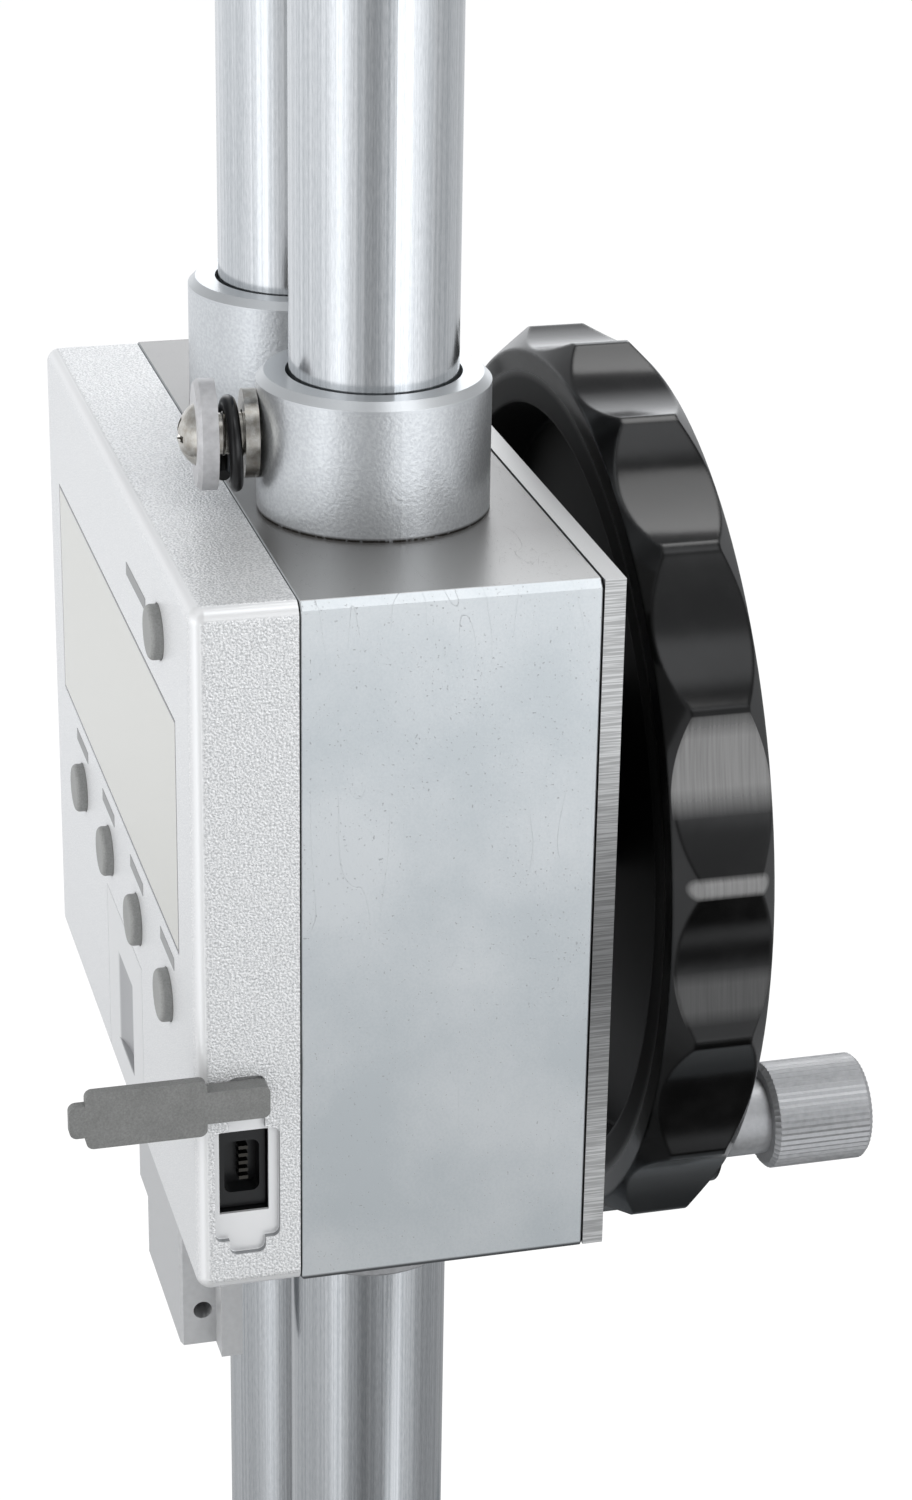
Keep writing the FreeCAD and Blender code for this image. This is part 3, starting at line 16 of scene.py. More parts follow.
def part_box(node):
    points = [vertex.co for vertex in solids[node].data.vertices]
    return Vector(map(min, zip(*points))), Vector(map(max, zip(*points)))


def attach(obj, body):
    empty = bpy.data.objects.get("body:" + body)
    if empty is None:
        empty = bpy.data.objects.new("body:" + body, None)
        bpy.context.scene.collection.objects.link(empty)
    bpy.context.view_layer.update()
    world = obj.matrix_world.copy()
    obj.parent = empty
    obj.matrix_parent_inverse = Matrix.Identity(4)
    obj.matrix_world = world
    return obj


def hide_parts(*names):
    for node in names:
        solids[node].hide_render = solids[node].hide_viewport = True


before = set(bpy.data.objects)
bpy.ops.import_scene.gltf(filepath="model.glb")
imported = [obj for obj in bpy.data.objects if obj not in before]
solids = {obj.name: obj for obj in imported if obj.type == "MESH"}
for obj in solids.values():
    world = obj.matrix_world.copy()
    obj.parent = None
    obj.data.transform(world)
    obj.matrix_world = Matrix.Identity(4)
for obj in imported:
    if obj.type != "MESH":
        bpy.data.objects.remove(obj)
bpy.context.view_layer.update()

MM = 0.001

# %% [markdown]
# ## Colours and shader nodes
#
# Colours are easiest to judge as screen codes, while a shader wants linear light. One small function turns
# one into the other. A second one adds a shader node: each input takes a value or the node that feeds it,
# so a whole finish reads from top to bottom.


# %% Colour and node helpers
def colour(code):
    """Turns a screen colour such as #C4C8CC into the linear colour that shaders take."""
    channels = [int(code[start:start + 2], 16) / 255 for start in (1, 3, 5)]
    linear = [c / 12.92 if c <= 0.04045 else ((c + 0.055) / 1.055) ** 2.4 for c in channels]
    return (*linear, 1.0)


def add(tree, kind, feeds=None, stops=(), **settings):
    """Adds a shader node. A feed is a value, an output, or a node whose first output is meant."""
    node = tree.nodes.new("ShaderNode" + kind)
    for name, value in settings.items():
        setattr(node, name, value)
    for name, value in (feeds or {}).items():
        if isinstance(value, bpy.types.Node):
            value = next(output for output in value.outputs if output.enabled)
        if isinstance(value, bpy.types.NodeSocket):
            tree.links.new(value, node.inputs[name])
        else:
            node.inputs[name].default_value = value
    for number, (position, shade) in enumerate(stops):
        elements = node.color_ramp.elements
        stop = elements[number] if number < 2 else elements.new(position)
        stop.position = position
        stop.color = shade
    return node


print("white is", colour("#FFFFFF"))

# %% [markdown]
# Every finish starts from the same shader with a base colour, a roughness and a share of metal. Plain
# pieces need no more than that, and the others feed patterns into its sockets afterwards.


# %% Start of a finish
def finish(name, tint, roughness, metallic=0.0, **sockets):
    """A new material with one plain colour, its node tree and its shader."""
    material = bpy.data.materials.new(name)
    material.use_nodes = True
    tree = material.node_tree
    shader = tree.nodes["Principled BSDF"]
    shader.inputs["Base Color"].default_value = colour(tint)
    shader.inputs["Roughness"].default_value = roughness
    shader.inputs["Metallic"].default_value = metallic
    for socket, value in sockets.items():
        shader.inputs[socket.replace("_", " ")].default_value = value
    return material, tree, shader


def per(size_mm):
    """The scale of a pattern whose spots are size_mm wide."""
    return 1 / (size_mm * MM)


print("a spot of half a millimetre has scale", per(0.5))

# %% [markdown]
# ## Columns: tool steel, ground and polished
#
# A column that was polished lengthwise carries lines from end to end, and short marks between them vary its
# gloss. A noise drawn out along Z gives the lines: it bends the reflection a little, which breaks its edges
# into streaks. A second, much shorter one gives the marks. The real ones are a few hundredths of a millimetre
# wide. Here the lines are 0.35 mm wide and the marks 0.16 mm, which is as coarse as they have to be to show.
# The beam, the rack and the pinion shaft are only milled or turned, so theirs is darker and duller.


# %% Ground steel
def ground_steel_finish(name, dark, light, smooth, rough):
    material, tree, shader = finish(name, light, smooth, metallic=1.0)
    place = add(tree, "TexCoord").outputs["Object"]
    along = add(tree, "Mapping", {"Vector": place, "Scale": (per(0.35), per(0.35), per(180))})
    lines = add(tree, "TexNoise", {"Vector": along, "Scale": 1.0, "Detail": 4.0})
    short = add(tree, "Mapping", {"Vector": place, "Scale": (per(0.16), per(0.16), per(1.2))})
    marks = add(tree, "TexNoise", {"Vector": short, "Scale": 1.0, "Detail": 2.0})
    mixed = add(tree, "Math", {0: marks, 1: 0.5, 2: lines}, operation="MULTIPLY_ADD")
    even = add(tree, "MapRange", {"Value": mixed, "From Min": 0.5, "From Max": 1.0})
    tint = add(tree, "ValToRGB", {"Fac": even}, stops=[(0.0, colour(dark)), (1.0, colour(light))])
    gloss = add(tree, "MapRange", {"Value": marks, "From Min": 0.3, "From Max": 0.7, "To Min": smooth,
                                   "To Max": rough})
    lift = add(tree, "Bump", {"Height": lines, "Distance": 0.012 * MM, "Strength": 0.5})
    tree.links.new(tint.outputs["Color"], shader.inputs["Base Color"])
    tree.links.new(gloss.outputs["Result"], shader.inputs["Roughness"])
    tree.links.new(lift.outputs["Normal"], shader.inputs["Normal"])
    return material


ground_steel = ground_steel_finish("ground_tool_steel", "#C6CACD", "#F0F2F4", 0.16, 0.2)
milled_steel = ground_steel_finish("milled_steel", "#8F9295", "#BFC2C4", 0.3, 0.45)
print("steels:", ground_steel.name, milled_steel.name)

# %% [markdown]
# ## Collars: cast aluminium with a wrinkled silver coat
#
# The wall of each collar is sprayed with a coat that wrinkles as it dries, in bumps of about 0.4 mm. The
# top has been faced smooth afterwards. One finish serves both, because the wrinkles fade out above the
# wall. Painted shade darkens the wrinkles' valleys and painted highlight lightens their crests, faintly. At
# the foot, where the collar meets the block, a ragged dark line is painted shade.


# %% Wrinkled collar coat
def wrinkled_coat_finish():
    material, tree, shader = finish("wrinkled_coat", "#D6D9DB", 0.32, metallic=0.85)
    low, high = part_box("clamp_collar")
    place = add(tree, "TexCoord").outputs["Object"]
    up = add(tree, "SeparateXYZ", {"Vector": place}).outputs["Z"]
    wall_top = high.z - 0.9 * MM
    wall = add(tree, "MapRange", {"Value": up, "From Min": wall_top, "From Max": wall_top - 0.4 * MM})
    bumps = add(tree, "TexNoise", {"Vector": place, "Scale": per(0.4), "Detail": 1.0})
    height = add(tree, "Math", {0: bumps, 1: wall}, operation="MULTIPLY")
    lift = add(tree, "Bump", {"Height": height, "Distance": 0.06 * MM, "Strength": 0.45})
    # Painted shade: a ragged dark line in the corner at the collar's foot.
    foot = add(tree, "MapRange", {"Value": up, "From Min": low.z + 0.55 * MM, "From Max": low.z + 0.2 * MM})
    ragged = add(tree, "TexNoise", {"Vector": place, "Scale": per(0.8), "Detail": 3.0})
    ragged_part = add(tree, "MapRange", {"Value": ragged, "From Min": 0.15, "From Max": 0.45})
    painted_foot_shade = add(tree, "Math", {0: foot, 1: ragged_part}, operation="MULTIPLY")
    # Painted shade in the wrinkles' valleys and painted highlight on their crests.
    wrinkles_shaded = add(tree, "ValToRGB", {"Fac": height}, stops=[(0.0, colour("#DADDDF")), (0.35, colour("#D1D4D7")),
                                                         (0.65, colour("#DEE1E3"))])
    tint = add(tree, "MixRGB", {"Fac": painted_foot_shade, "Color1": wrinkles_shaded, "Color2": colour("#3A3733")})
    tree.links.new(tint.outputs["Color"], shader.inputs["Base Color"])
    tree.links.new(lift.outputs["Normal"], shader.inputs["Normal"])
    return material


wrinkled_coat = wrinkled_coat_finish()
print("collar finish:", wrinkled_coat.name)

# %% [markdown]
# ## Head block: aluminium, blasted and plated
#
# The block's sides are blasted and plated: pale, slightly blue and almost even. What makes such a face look
# real is nearly invisible, so the finish adds clouds of a centimetre or two, the mottle that blasting
# leaves, a few handling scratches and tiny grey pits. Blasting is finer than a picture can show, so its
# mottle is drawn 0.35 mm wide. The scratches are the places where a stretched noise crosses its middle
# value. The top was sawn and brushed, and is greyer. It grows darker towards the collars with painted
# shade and brighter towards its outer edge with a painted sheen. Painted shade also draws a thin dark
# line at the joints to the housing and to the plate, and along the lower edge. The bridge over the columns
# wears this finish too. It stands above the block's top, so all of it is brushed.


# %% Lines and scratches of the block
def painted_edge_shade(tree, axes, low, high):
    """Painted shade: dark lines at the joints on the block's front and back, and along its lower edge."""
    off_middle = add(tree, "Math", {0: axes["Y"], 1: (low.y + high.y) / 2}, operation="SUBTRACT")
    away = add(tree, "Math", {0: off_middle}, operation="ABSOLUTE")
    line_start = (high.y - low.y) / 2 - 0.26 * MM
    joint_shade = add(tree, "MapRange", {"Value": away, "From Min": line_start, "From Max": line_start + 0.1 * MM})
    foot_end = low.z + 0.5 * MM
    foot = add(tree, "MapRange", {"Value": axes["Z"], "From Min": foot_end, "From Max": foot_end - 0.25 * MM,
                                  "To Max": 0.9})
    return add(tree, "Math", {0: joint_shade, 1: foot}, operation="MAXIMUM")


def hair_scratches(tree, place, clouds):
    """Thin lines where a stretched noise crosses its middle value, in the brighter clouds alone."""
    stretched = add(tree, "Mapping", {"Vector": place, "Scale": (per(9), per(3), per(16))})
    wander = add(tree, "TexNoise", {"Vector": stretched, "Scale": 1.0, "Detail": 0.0})
    offset = add(tree, "Math", {0: wander, 1: 0.5}, operation="SUBTRACT")
    size = add(tree, "Math", {0: offset}, operation="ABSOLUTE")
    scratch = add(tree, "MapRange", {"Value": size, "From Min": 0.0025, "From Max": 0.0})
    where = add(tree, "MapRange", {"Value": clouds, "From Min": 0.52, "From Max": 0.62})
    return add(tree, "Math", {0: scratch, 1: where}, operation="MULTIPLY")


print("block helpers ready")


# %% Plated block
def plated_block_finish():
    material, tree, shader = finish("plated_aluminium", "#CACED1", 0.3, metallic=0.75)
    low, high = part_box("head_block")
    place = add(tree, "TexCoord").outputs["Object"]
    axes = add(tree, "SeparateXYZ", {"Vector": place}).outputs
    clouds = add(tree, "TexNoise", {"Vector": place, "Scale": per(16), "Detail": 4.0})
    grit = add(tree, "TexNoise", {"Vector": place, "Scale": per(0.35), "Detail": 3.0})
    mottle = add(tree, "Math", {0: grit, 1: 0.35, 2: clouds}, operation="MULTIPLY_ADD")
    plated = add(tree, "ValToRGB", {"Fac": mottle}, stops=[(0.525, colour("#C2C8CB")),
                                                           (0.825, colour("#D1D5D7"))])
    # Painted shade darkens the top towards the collars, and a painted sheen brightens its outer edge.
    sheen_reach = 18 * MM
    outwards = add(tree, "MapRange", {"Value": axes["X"], "From Min": high.x - sheen_reach,
                                      "From Max": high.x})
    brushed_top_shaded = add(tree, "ValToRGB", {"Fac": outwards}, stops=[(0.0, colour("#8A8988")),
                                                              (1.0, colour("#AAAAA9"))])
    top = add(tree, "MapRange", {"Value": axes["Z"], "From Min": high.z - 0.1 * MM,
                                 "From Max": high.z - 0.02 * MM})
    tint = add(tree, "MixRGB", {"Fac": top, "Color1": plated, "Color2": brushed_top_shaded})
    # Painted shade: dark lines at the joints and along the lower edge.
    dark = painted_edge_shade(tree, axes, low, high)
    edge_shaded = add(tree, "MixRGB", {"Fac": dark, "Color1": tint, "Color2": colour("#2B2C2E")})
    pits = add(tree, "MapRange", {"Value": grit, "From Min": 0.66, "From Max": 0.72})
    grey = add(tree, "MapRange", {"Value": pits, "To Max": 0.35})
    speckled = add(tree, "MixRGB", {"Fac": grey, "Color1": edge_shaded, "Color2": colour("#6E7072")})
    scratches = hair_scratches(tree, place, clouds)
    hollows = add(tree, "Math", {0: scratches, 1: pits}, operation="ADD")
    fine = add(tree, "Bump", {"Height": grit, "Distance": 0.01 * MM, "Strength": 0.5})
    lift = add(tree, "Bump", {"Height": hollows, "Distance": 0.03 * MM, "Strength": 0.6, "Normal": fine},
               invert=True)
    tree.links.new(speckled.outputs["Color"], shader.inputs["Base Color"])
    tree.links.new(lift.outputs["Normal"], shader.inputs["Normal"])
    return material


plated_aluminium = plated_block_finish()
print("block finish:", plated_aluminium.name)

# %% [markdown]
# ## Display housing: moulded ABS with a silver lacquer
#
# The mould's sides and top are etched with a leather-like grain of 0.28 mm, and its front, its rounded
# edges and the bed round the data port are smooth. So the grain is kept to the outermost planes: it is
# switched on by how far out a place lies, and the rounding, which falls away from those planes, stays
# smooth. It is also glossier, because the mould was polished there, and brighter with a painted highlight.
# Flakes in the lacquer make the grain glitter. They are drawn 0.13 mm wide, coarser than real ones, to
# show. The grain's valleys carry painted shade and its peaks painted glints. The steps of the bed are
# darkened with painted shade, and painted shade turns the port's tunnel near black round its socket.


# %% Bed and tunnel of the data port
def bed_steps(tree, axes, sideways, low, high):
    """The steps lie between the bed and the outer plane, in depth, and away from the rounded edges."""
    step_middle, step_half, rounding = 0.45 * MM, 0.33 * MM, 1.9 * MM
    sunk = add(tree, "Math", {0: sideways, 1: high.x - step_middle, 2: step_half}, operation="COMPARE")
    off_front = add(tree, "Math", {0: axes["Y"], 1: low.y + rounding}, operation="GREATER_THAN")
    off_ends = add(tree, "Math", {0: axes["Z"], 1: (low.z + high.z) / 2,
                                  2: (high.z - low.z) / 2 - rounding}, operation="COMPARE")
    behind_front = add(tree, "Math", {0: sunk, 1: off_front}, operation="MULTIPLY")
    return add(tree, "Math", {0: behind_front, 1: off_ends}, operation="MULTIPLY")


def port_tunnel(tree, place):
    """A box round the socket, which ends below the bed that the flap lies in."""
    socket_low, socket_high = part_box("port_connector")
    port_y, past_socket, half_width, half_height = -22.35 * MM, 0.9 * MM, 3.3 * MM, 5.8 * MM
    port_middle = (0, port_y, (socket_low.z + socket_high.z) / 2)
    half_room = (socket_high.x + past_socket, half_width, half_height)
    to_socket = add(tree, "VectorMath", {0: place, 1: port_middle}, operation="SUBTRACT")
    apart = add(tree, "VectorMath", {0: to_socket}, operation="ABSOLUTE")
    share = add(tree, "VectorMath", {0: apart, 1: half_room}, operation="DIVIDE")
    shares = add(tree, "SeparateXYZ", {"Vector": share}).outputs
    widest = add(tree, "Math", {0: shares["Y"], 1: shares["Z"]}, operation="MAXIMUM")
    farthest = add(tree, "Math", {0: widest, 1: shares["X"]}, operation="MAXIMUM")
    return add(tree, "Math", {0: farthest, 1: 1.0}, operation="LESS_THAN")


# %% Silver housing
def etched_lacquer_finish():
    material, tree, shader = finish("etched_silver_lacquer", "#D8D9DA", 0.36, metallic=0.4)
    low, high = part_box("housing")
    place = add(tree, "TexCoord").outputs["Object"]
    axes = add(tree, "SeparateXYZ", {"Vector": place}).outputs
    flakes = add(tree, "TexNoise", {"Vector": place, "Scale": per(0.13), "Detail": 1.0})
    tint = add(tree, "ValToRGB", {"Fac": flakes}, stops=[(0.3, colour("#CACCCE")), (0.58, colour("#DEDFE0")),
                                                         (0.72, colour("#FBFBFB"))])
    skin_start, skin_full = 0.09 * MM, 0.03 * MM
    sideways = add(tree, "Math", {0: axes["X"]}, operation="ABSOLUTE")
    side = add(tree, "MapRange", {"Value": sideways, "From Min": high.x - skin_start,
                                  "From Max": high.x - skin_full})
    top = add(tree, "MapRange", {"Value": axes["Z"], "From Min": high.z - skin_start,
                                 "From Max": high.z - skin_full})
    outer = add(tree, "Math", {0: side, 1: top}, operation="MAXIMUM")
    grain = add(tree, "TexNoise", {"Vector": place, "Scale": per(0.28), "Detail": 1.0})
    bumps = add(tree, "Math", {0: grain, 1: outer}, operation="MULTIPLY")
    lift = add(tree, "Bump", {"Height": bumps, "Distance": 0.12 * MM, "Strength": 1.0})
    # Painted shade in the grain's valleys and painted glints on its peaks.
    valleys = add(tree, "MapRange", {"Value": grain, "From Min": 0.5, "From Max": 0.3, "To Max": 0.65})
    shade = add(tree, "Math", {0: valleys, 1: outer}, operation="MULTIPLY")
    shaded = add(tree, "MixRGB", {"Fac": shade, "Color1": tint, "Color2": colour("#B4B6B8")})
    peaks = add(tree, "MapRange", {"Value": grain, "From Min": 0.5, "From Max": 0.65})
    glint = add(tree, "Math", {0: peaks, 1: outer}, operation="MULTIPLY")
    grain_shade_and_glint = add(tree, "MixRGB", {"Fac": glint, "Color1": shaded, "Color2": colour("#EEEFF0")})
    # Painted highlight on the rounded edges, which are also glossier.
    behind = add(tree, "MapRange", {"Value": axes["Y"], "From Min": low.y + 0.1 * MM,
                                    "From Max": low.y + 0.5 * MM})
    flat_part = add(tree, "Math", {0: 1.0, 1: outer}, operation="SUBTRACT")
    rounding = add(tree, "Math", {0: behind, 1: flat_part}, operation="MULTIPLY")
    painted_edge_highlight = add(tree, "MixRGB", {"Fac": rounding, "Color1": grain_shade_and_glint, "Color2": colour("#E7E8E9")})
    gloss = add(tree, "MapRange", {"Value": rounding, "To Min": 0.36, "To Max": 0.29})
    # Painted shade on the steps of the bed.
    steps = bed_steps(tree, axes, sideways, low, high)
    step_shaded = add(tree, "MixRGB", {"Fac": steps, "Color1": painted_edge_highlight, "Color2": colour("#8C8E90")})
    # Painted shade turns the port's tunnel near black round its socket.
    tunnel = port_tunnel(tree, place)
    tunnel_shaded = add(tree, "MixRGB", {"Fac": tunnel, "Color1": step_shaded, "Color2": colour("#141516")})
    tree.links.new(gloss.outputs["Result"], shader.inputs["Roughness"])
    tree.links.new(tunnel_shaded.outputs["Color"], shader.inputs["Base Color"])
    tree.links.new(lift.outputs["Normal"], shader.inputs["Normal"])
    return material


etched_lacquer = etched_lacquer_finish()
print("housing finish:", etched_lacquer.name)


# %% Battery cover
def cover_lacquer_finish():
    """The battery cover's smooth lacquer, greyed with painted shade in the hollow that is pushed."""
    material, tree, shader = finish("silver_lacquer_scoop_shaded", "#D8D9DA", 0.4, metallic=0.4)
    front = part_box("battery_cover")[0].y
    place = add(tree, "TexCoord").outputs["Object"]
    depth = add(tree, "SeparateXYZ", {"Vector": place}).outputs["Y"]
    # Painted shade greys the finger hollow.
    deep = add(tree, "MapRange", {"Value": depth, "From Min": front + 0.03 * MM,
                                  "From Max": front + 0.2 * MM})
    scoop_shaded = add(tree, "MixRGB", {"Fac": deep, "Color1": colour("#D8D9DA"), "Color2": colour("#A8A9AB")})
    tree.links.new(scoop_shaded.outputs["Color"], shader.inputs["Base Color"])
    return material


cover_lacquer = cover_lacquer_finish()
print("cover finish:", cover_lacquer.name)

# %% [markdown]
# ## Rubber, plastics and the display
#
# The keys and the port's flap are moulded silicone with a dusty grain, and the keys are paler. The grain is
# drawn 0.22 mm wide, coarser than real dust, to show. The display lens is bonded to the blank panel behind
# it, so that from the side both look like one pale sheet. Hidden boards and contacts get plain finishes of
# their own.


# %% Rubber and plastics
def dusty_silicone_finish(name, dark, light):
    material, tree, shader = finish(name, dark, 0.55)
    place = add(tree, "TexCoord").outputs["Object"]
    dust = add(tree, "TexNoise", {"Vector": place, "Scale": per(0.22), "Detail": 3.0})
    smears = add(tree, "TexNoise", {"Vector": place, "Scale": per(2.5), "Detail": 2.0})
    both = add(tree, "Math", {0: smears, 1: 0.4, 2: dust}, operation="MULTIPLY_ADD")
    even = add(tree, "MapRange", {"Value": both, "From Min": 0.45, "From Max": 0.95})
    tint = add(tree, "ValToRGB", {"Fac": even}, stops=[(0.0, colour(dark)), (1.0, colour(light))])
    lift = add(tree, "Bump", {"Height": dust, "Distance": 0.03 * MM, "Strength": 0.5})
    tree.links.new(tint.outputs["Color"], shader.inputs["Base Color"])
    tree.links.new(lift.outputs["Normal"], shader.inputs["Normal"])
    return material


def lens_acrylic_finish():
    """The lens with its bonded panel; a thin dark line runs round its edge."""
    material, tree, shader = finish("lens_acrylic", "#BDBDB8", 0.16, IOR=1.49)
    low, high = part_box("lcd_window")
    middle, half = (low + high) / 2, (high - low) / 2
    place = add(tree, "TexCoord").outputs["Object"]
    off = add(tree, "VectorMath", {0: place, 1: middle}, operation="SUBTRACT")
    apart = add(tree, "VectorMath", {0: off}, operation="ABSOLUTE")
    past_edge = add(tree, "VectorMath", {0: apart, 1: half}, operation="SUBTRACT")
    past = add(tree, "SeparateXYZ", {"Vector": past_edge}).outputs
    nearest = add(tree, "Math", {0: past["X"], 1: past["Z"]}, operation="MAXIMUM")
    line = add(tree, "MapRange", {"Value": nearest, "From Min": -0.4 * MM, "From Max": -0.25 * MM})
    tint = add(tree, "MixRGB", {"Fac": line, "Color1": colour("#BDBDB8"), "Color2": colour("#5E6062")})
    tree.links.new(tint.outputs["Color"], shader.inputs["Base Color"])
    return material


flap_silicone = dusty_silicone_finish("flap_silicone", "#676867", "#7C7D7C")
key_silicone = dusty_silicone_finish("key_silicone", "#7F807F", "#959695")
lens_acrylic = lens_acrylic_finish()
socket_nylon = finish("socket_nylon", "#151617", 0.32)[0]
carrier_abs = finish("carrier_abs", "#232425", 0.5)[0]
display_glass = finish("display_glass", "#C9C9C3", 0.3)[0]
scale_film = finish("scale_film", "#31455A", 0.4)[0]
board_mask = finish("board_solder_mask", "#2C5A3B", 0.35)[0]
contact_rubber = finish("contact_rubber", "#C9A6A2", 0.6)[0]
key_print = finish("key_print", "#8E8F90", 0.6)[0]
print("lens:", lens_acrylic.name)

# %% [markdown]
# ## Bare plate, jaw steel and small metal
#
# The back plate is sawn from sheet and left bare. Its narrow edge shows the saw's marks, fine lines across
# the thickness, while its wide faces are plain. Round its middle height the whole plate carries painted
# shade, where the wheel shades it. The clamp's screw is nickel plated, its knob is zinc, the jaw is ground
# and dull, and the screws are blackened. These share a faint mottle that varies both colour and gloss.


# %% Metals of the small pieces
def mottled_metal_finish(name, dark, light, roughness, size_mm, metallic=1.0):
    material, tree, shader = finish(name, light, roughness, metallic=metallic)
    place = add(tree, "TexCoord").outputs["Object"]
    mottle = add(tree, "TexNoise", {"Vector": place, "Scale": per(size_mm), "Detail": 4.0})
    tint = add(tree, "ValToRGB", {"Fac": mottle}, stops=[(0.3, colour(dark)), (0.7, colour(light))])
    gloss = add(tree, "MapRange", {"Value": mottle, "From Min": 0.3, "From Max": 0.7,
                                   "To Min": 0.85 * roughness, "To Max": 1.2 * roughness})
    tree.links.new(tint.outputs["Color"], shader.inputs["Base Color"])
    tree.links.new(gloss.outputs["Result"], shader.inputs["Roughness"])
    return material


def sawn_plate_finish():
    material, tree, shader = finish("sawn_steel", "#A9A9A8", 0.4, metallic=1.0)
    low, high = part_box("back_plate")
    place = add(tree, "TexCoord").outputs["Object"]
    flat = add(tree, "Mapping", {"Vector": place, "Scale": (per(6), per(6), per(0.14))})
    saw = add(tree, "TexNoise", {"Vector": flat, "Scale": 1.0, "Detail": 1.0})
    axes = add(tree, "SeparateXYZ", {"Vector": place}).outputs
    sideways = add(tree, "Math", {0: axes["X"]}, operation="ABSOLUTE")
    edge = add(tree, "MapRange", {"Value": sideways, "From Min": high.x - 0.1 * MM,
                                  "From Max": high.x - 0.02 * MM})
    shown = add(tree, "Math", {0: saw, 1: edge}, operation="MULTIPLY")
    tint = add(tree, "ValToRGB", {"Fac": shown}, stops=[(0.0, colour("#C4C4C3")), (0.4, colour("#B6B6B5")),
                                                        (0.62, colour("#E0E0DF"))])
    lift = add(tree, "Bump", {"Height": shown, "Distance": 0.015 * MM, "Strength": 0.5})
    # Painted shade: the plate darkens round its middle height, where the wheel shades it.
    up = add(tree, "MapRange", {"Value": axes["Z"], "From Min": low.z, "From Max": high.z})
    wheel_shade = add(tree, "ValToRGB", {"Fac": up}, stops=[(0.14, colour("#FFFFFF")), (0.24, colour("#D1D1D1")),
                                                      (0.43, colour("#949494")), (0.6, colour("#BDBDBD")),
                                                      (0.78, colour("#FFFFFF"))])
    plate_shaded = add(tree, "MixRGB", {"Fac": 1.0, "Color1": tint, "Color2": wheel_shade}, blend_type="MULTIPLY")
    tree.links.new(plate_shaded.outputs["Color"], shader.inputs["Base Color"])
    tree.links.new(lift.outputs["Normal"], shader.inputs["Normal"])
    return material


sawn_steel = sawn_plate_finish()
jaw_steel = mottled_metal_finish("jaw_steel", "#BDBEBF", "#C6C7C8", 0.42, 0.8, metallic=0.5)
turned_aluminium = mottled_metal_finish("turned_aluminium", "#A0A1A3", "#B3B4B6", 0.45, 0.8, metallic=0.6)
knob_zinc = mottled_metal_finish("knob_zinc", "#B4B4B6", "#C6C6C8", 0.4, 0.9, metallic=0.4)
bright_nickel = mottled_metal_finish("bright_nickel", "#B8B2A8", "#DAD8D2", 0.2, 0.9)
blackened_steel = mottled_metal_finish("blackened_steel", "#17181A", "#26272A", 0.38, 0.6)
turned_brass = mottled_metal_finish("turned_brass", "#9C7A3E", "#BD9750", 0.3, 0.7)
spring_steel = finish("oiled_spring_steel", "#101011", 0.28)[0]
contact_gilding = finish("contact_gilding", "#4C4A46", 0.35, metallic=1.0)[0]
print("finishes so far:", len(bpy.data.materials))

# %% [markdown]
# ## Handwheel: black phenolic, moulded and polished
#
# The wheel is polished, but hands have dulled it. Broad soft waves in the surface break up its
# reflections. A grey film with fine rubbing marks has built up where fingers turn the wheel, in one hollow
# that faces right, and its grey there is partly painted highlight. The same grey is painted highlight
# alone on the land below that hollow and a little in the next hollow. The marks are drawn 0.3 mm wide,
# coarser than real ones, to show. Inside the dish the moulding was never polished, so it is matt. A
# moulded edge is never sharp, and the bevel node rounds the edges in the shading by 0.7 mm.


# %% Film on the wheel
def film_and_painted_highlights(tree, place, axle):
    """Dust; film and painted highlight in one hollow; painted highlight on the land and in the next."""
    def nearness(angle, out, inner, outer, weight=1.0):
        """Falls from weight to nothing between two distances, in mm, from a point beside the axle."""
        turn = math.radians(angle)
        point = axle + Vector((math.cos(turn), 0, math.sin(turn))) * out * MM
        from_point = add(tree, "Mapping", {"Vector": place, "Location": (-point.x, 0, -point.z),
                                           "Scale": (1, 0, 1)})
        distance = add(tree, "VectorMath", {0: from_point}, operation="LENGTH").outputs["Value"]
        return add(tree, "MapRange", {"Value": distance, "From Min": outer * MM, "From Max": inner * MM,
                                      "To Max": weight})

    # A finger hollow is cut by a cylinder of radius 29.3 mm about a line 85.5 mm from the axle, so a film
    # that ends a little past that radius ends crisply at the hollow's border.
    cutter_out, film_full, film_gone = 85.5, 29.45, 29.55
    spot_out, land_out = 57, 58.4
    broad = add(tree, "TexNoise", {"Vector": place, "Scale": per(6), "Detail": 4.0})
    dust = add(tree, "MapRange", {"Value": broad, "From Min": 0.45, "From Max": 0.7, "To Max": 0.02})
    # The first spot is film and painted highlight, the second painted highlight alone.
    for angle, reach, weight, hollow in ((24, 6.5, 1.0, 19.5), (-5, 3.5, 0.25, -0.5)):
        spot = nearness(angle, spot_out, 0.45 * reach, reach, weight)
        carved = nearness(hollow, cutter_out, film_full, film_gone)
        inside = add(tree, "Math", {0: spot, 1: carved}, operation="MULTIPLY")
        dust = add(tree, "Math", {0: dust, 1: inside}, operation="MAXIMUM")
    # A painted highlight along the land below the first hollow.
    land_highlight = nearness(angle=9.5, out=land_out, inner=0.7, outer=1.5)
    return add(tree, "Math", {0: dust, 1: land_highlight}, operation="MAXIMUM")


wheel_low, wheel_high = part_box("handwheel")
print("wheel's diameter in mm:", round((wheel_high.x - wheel_low.x) / MM, 1))


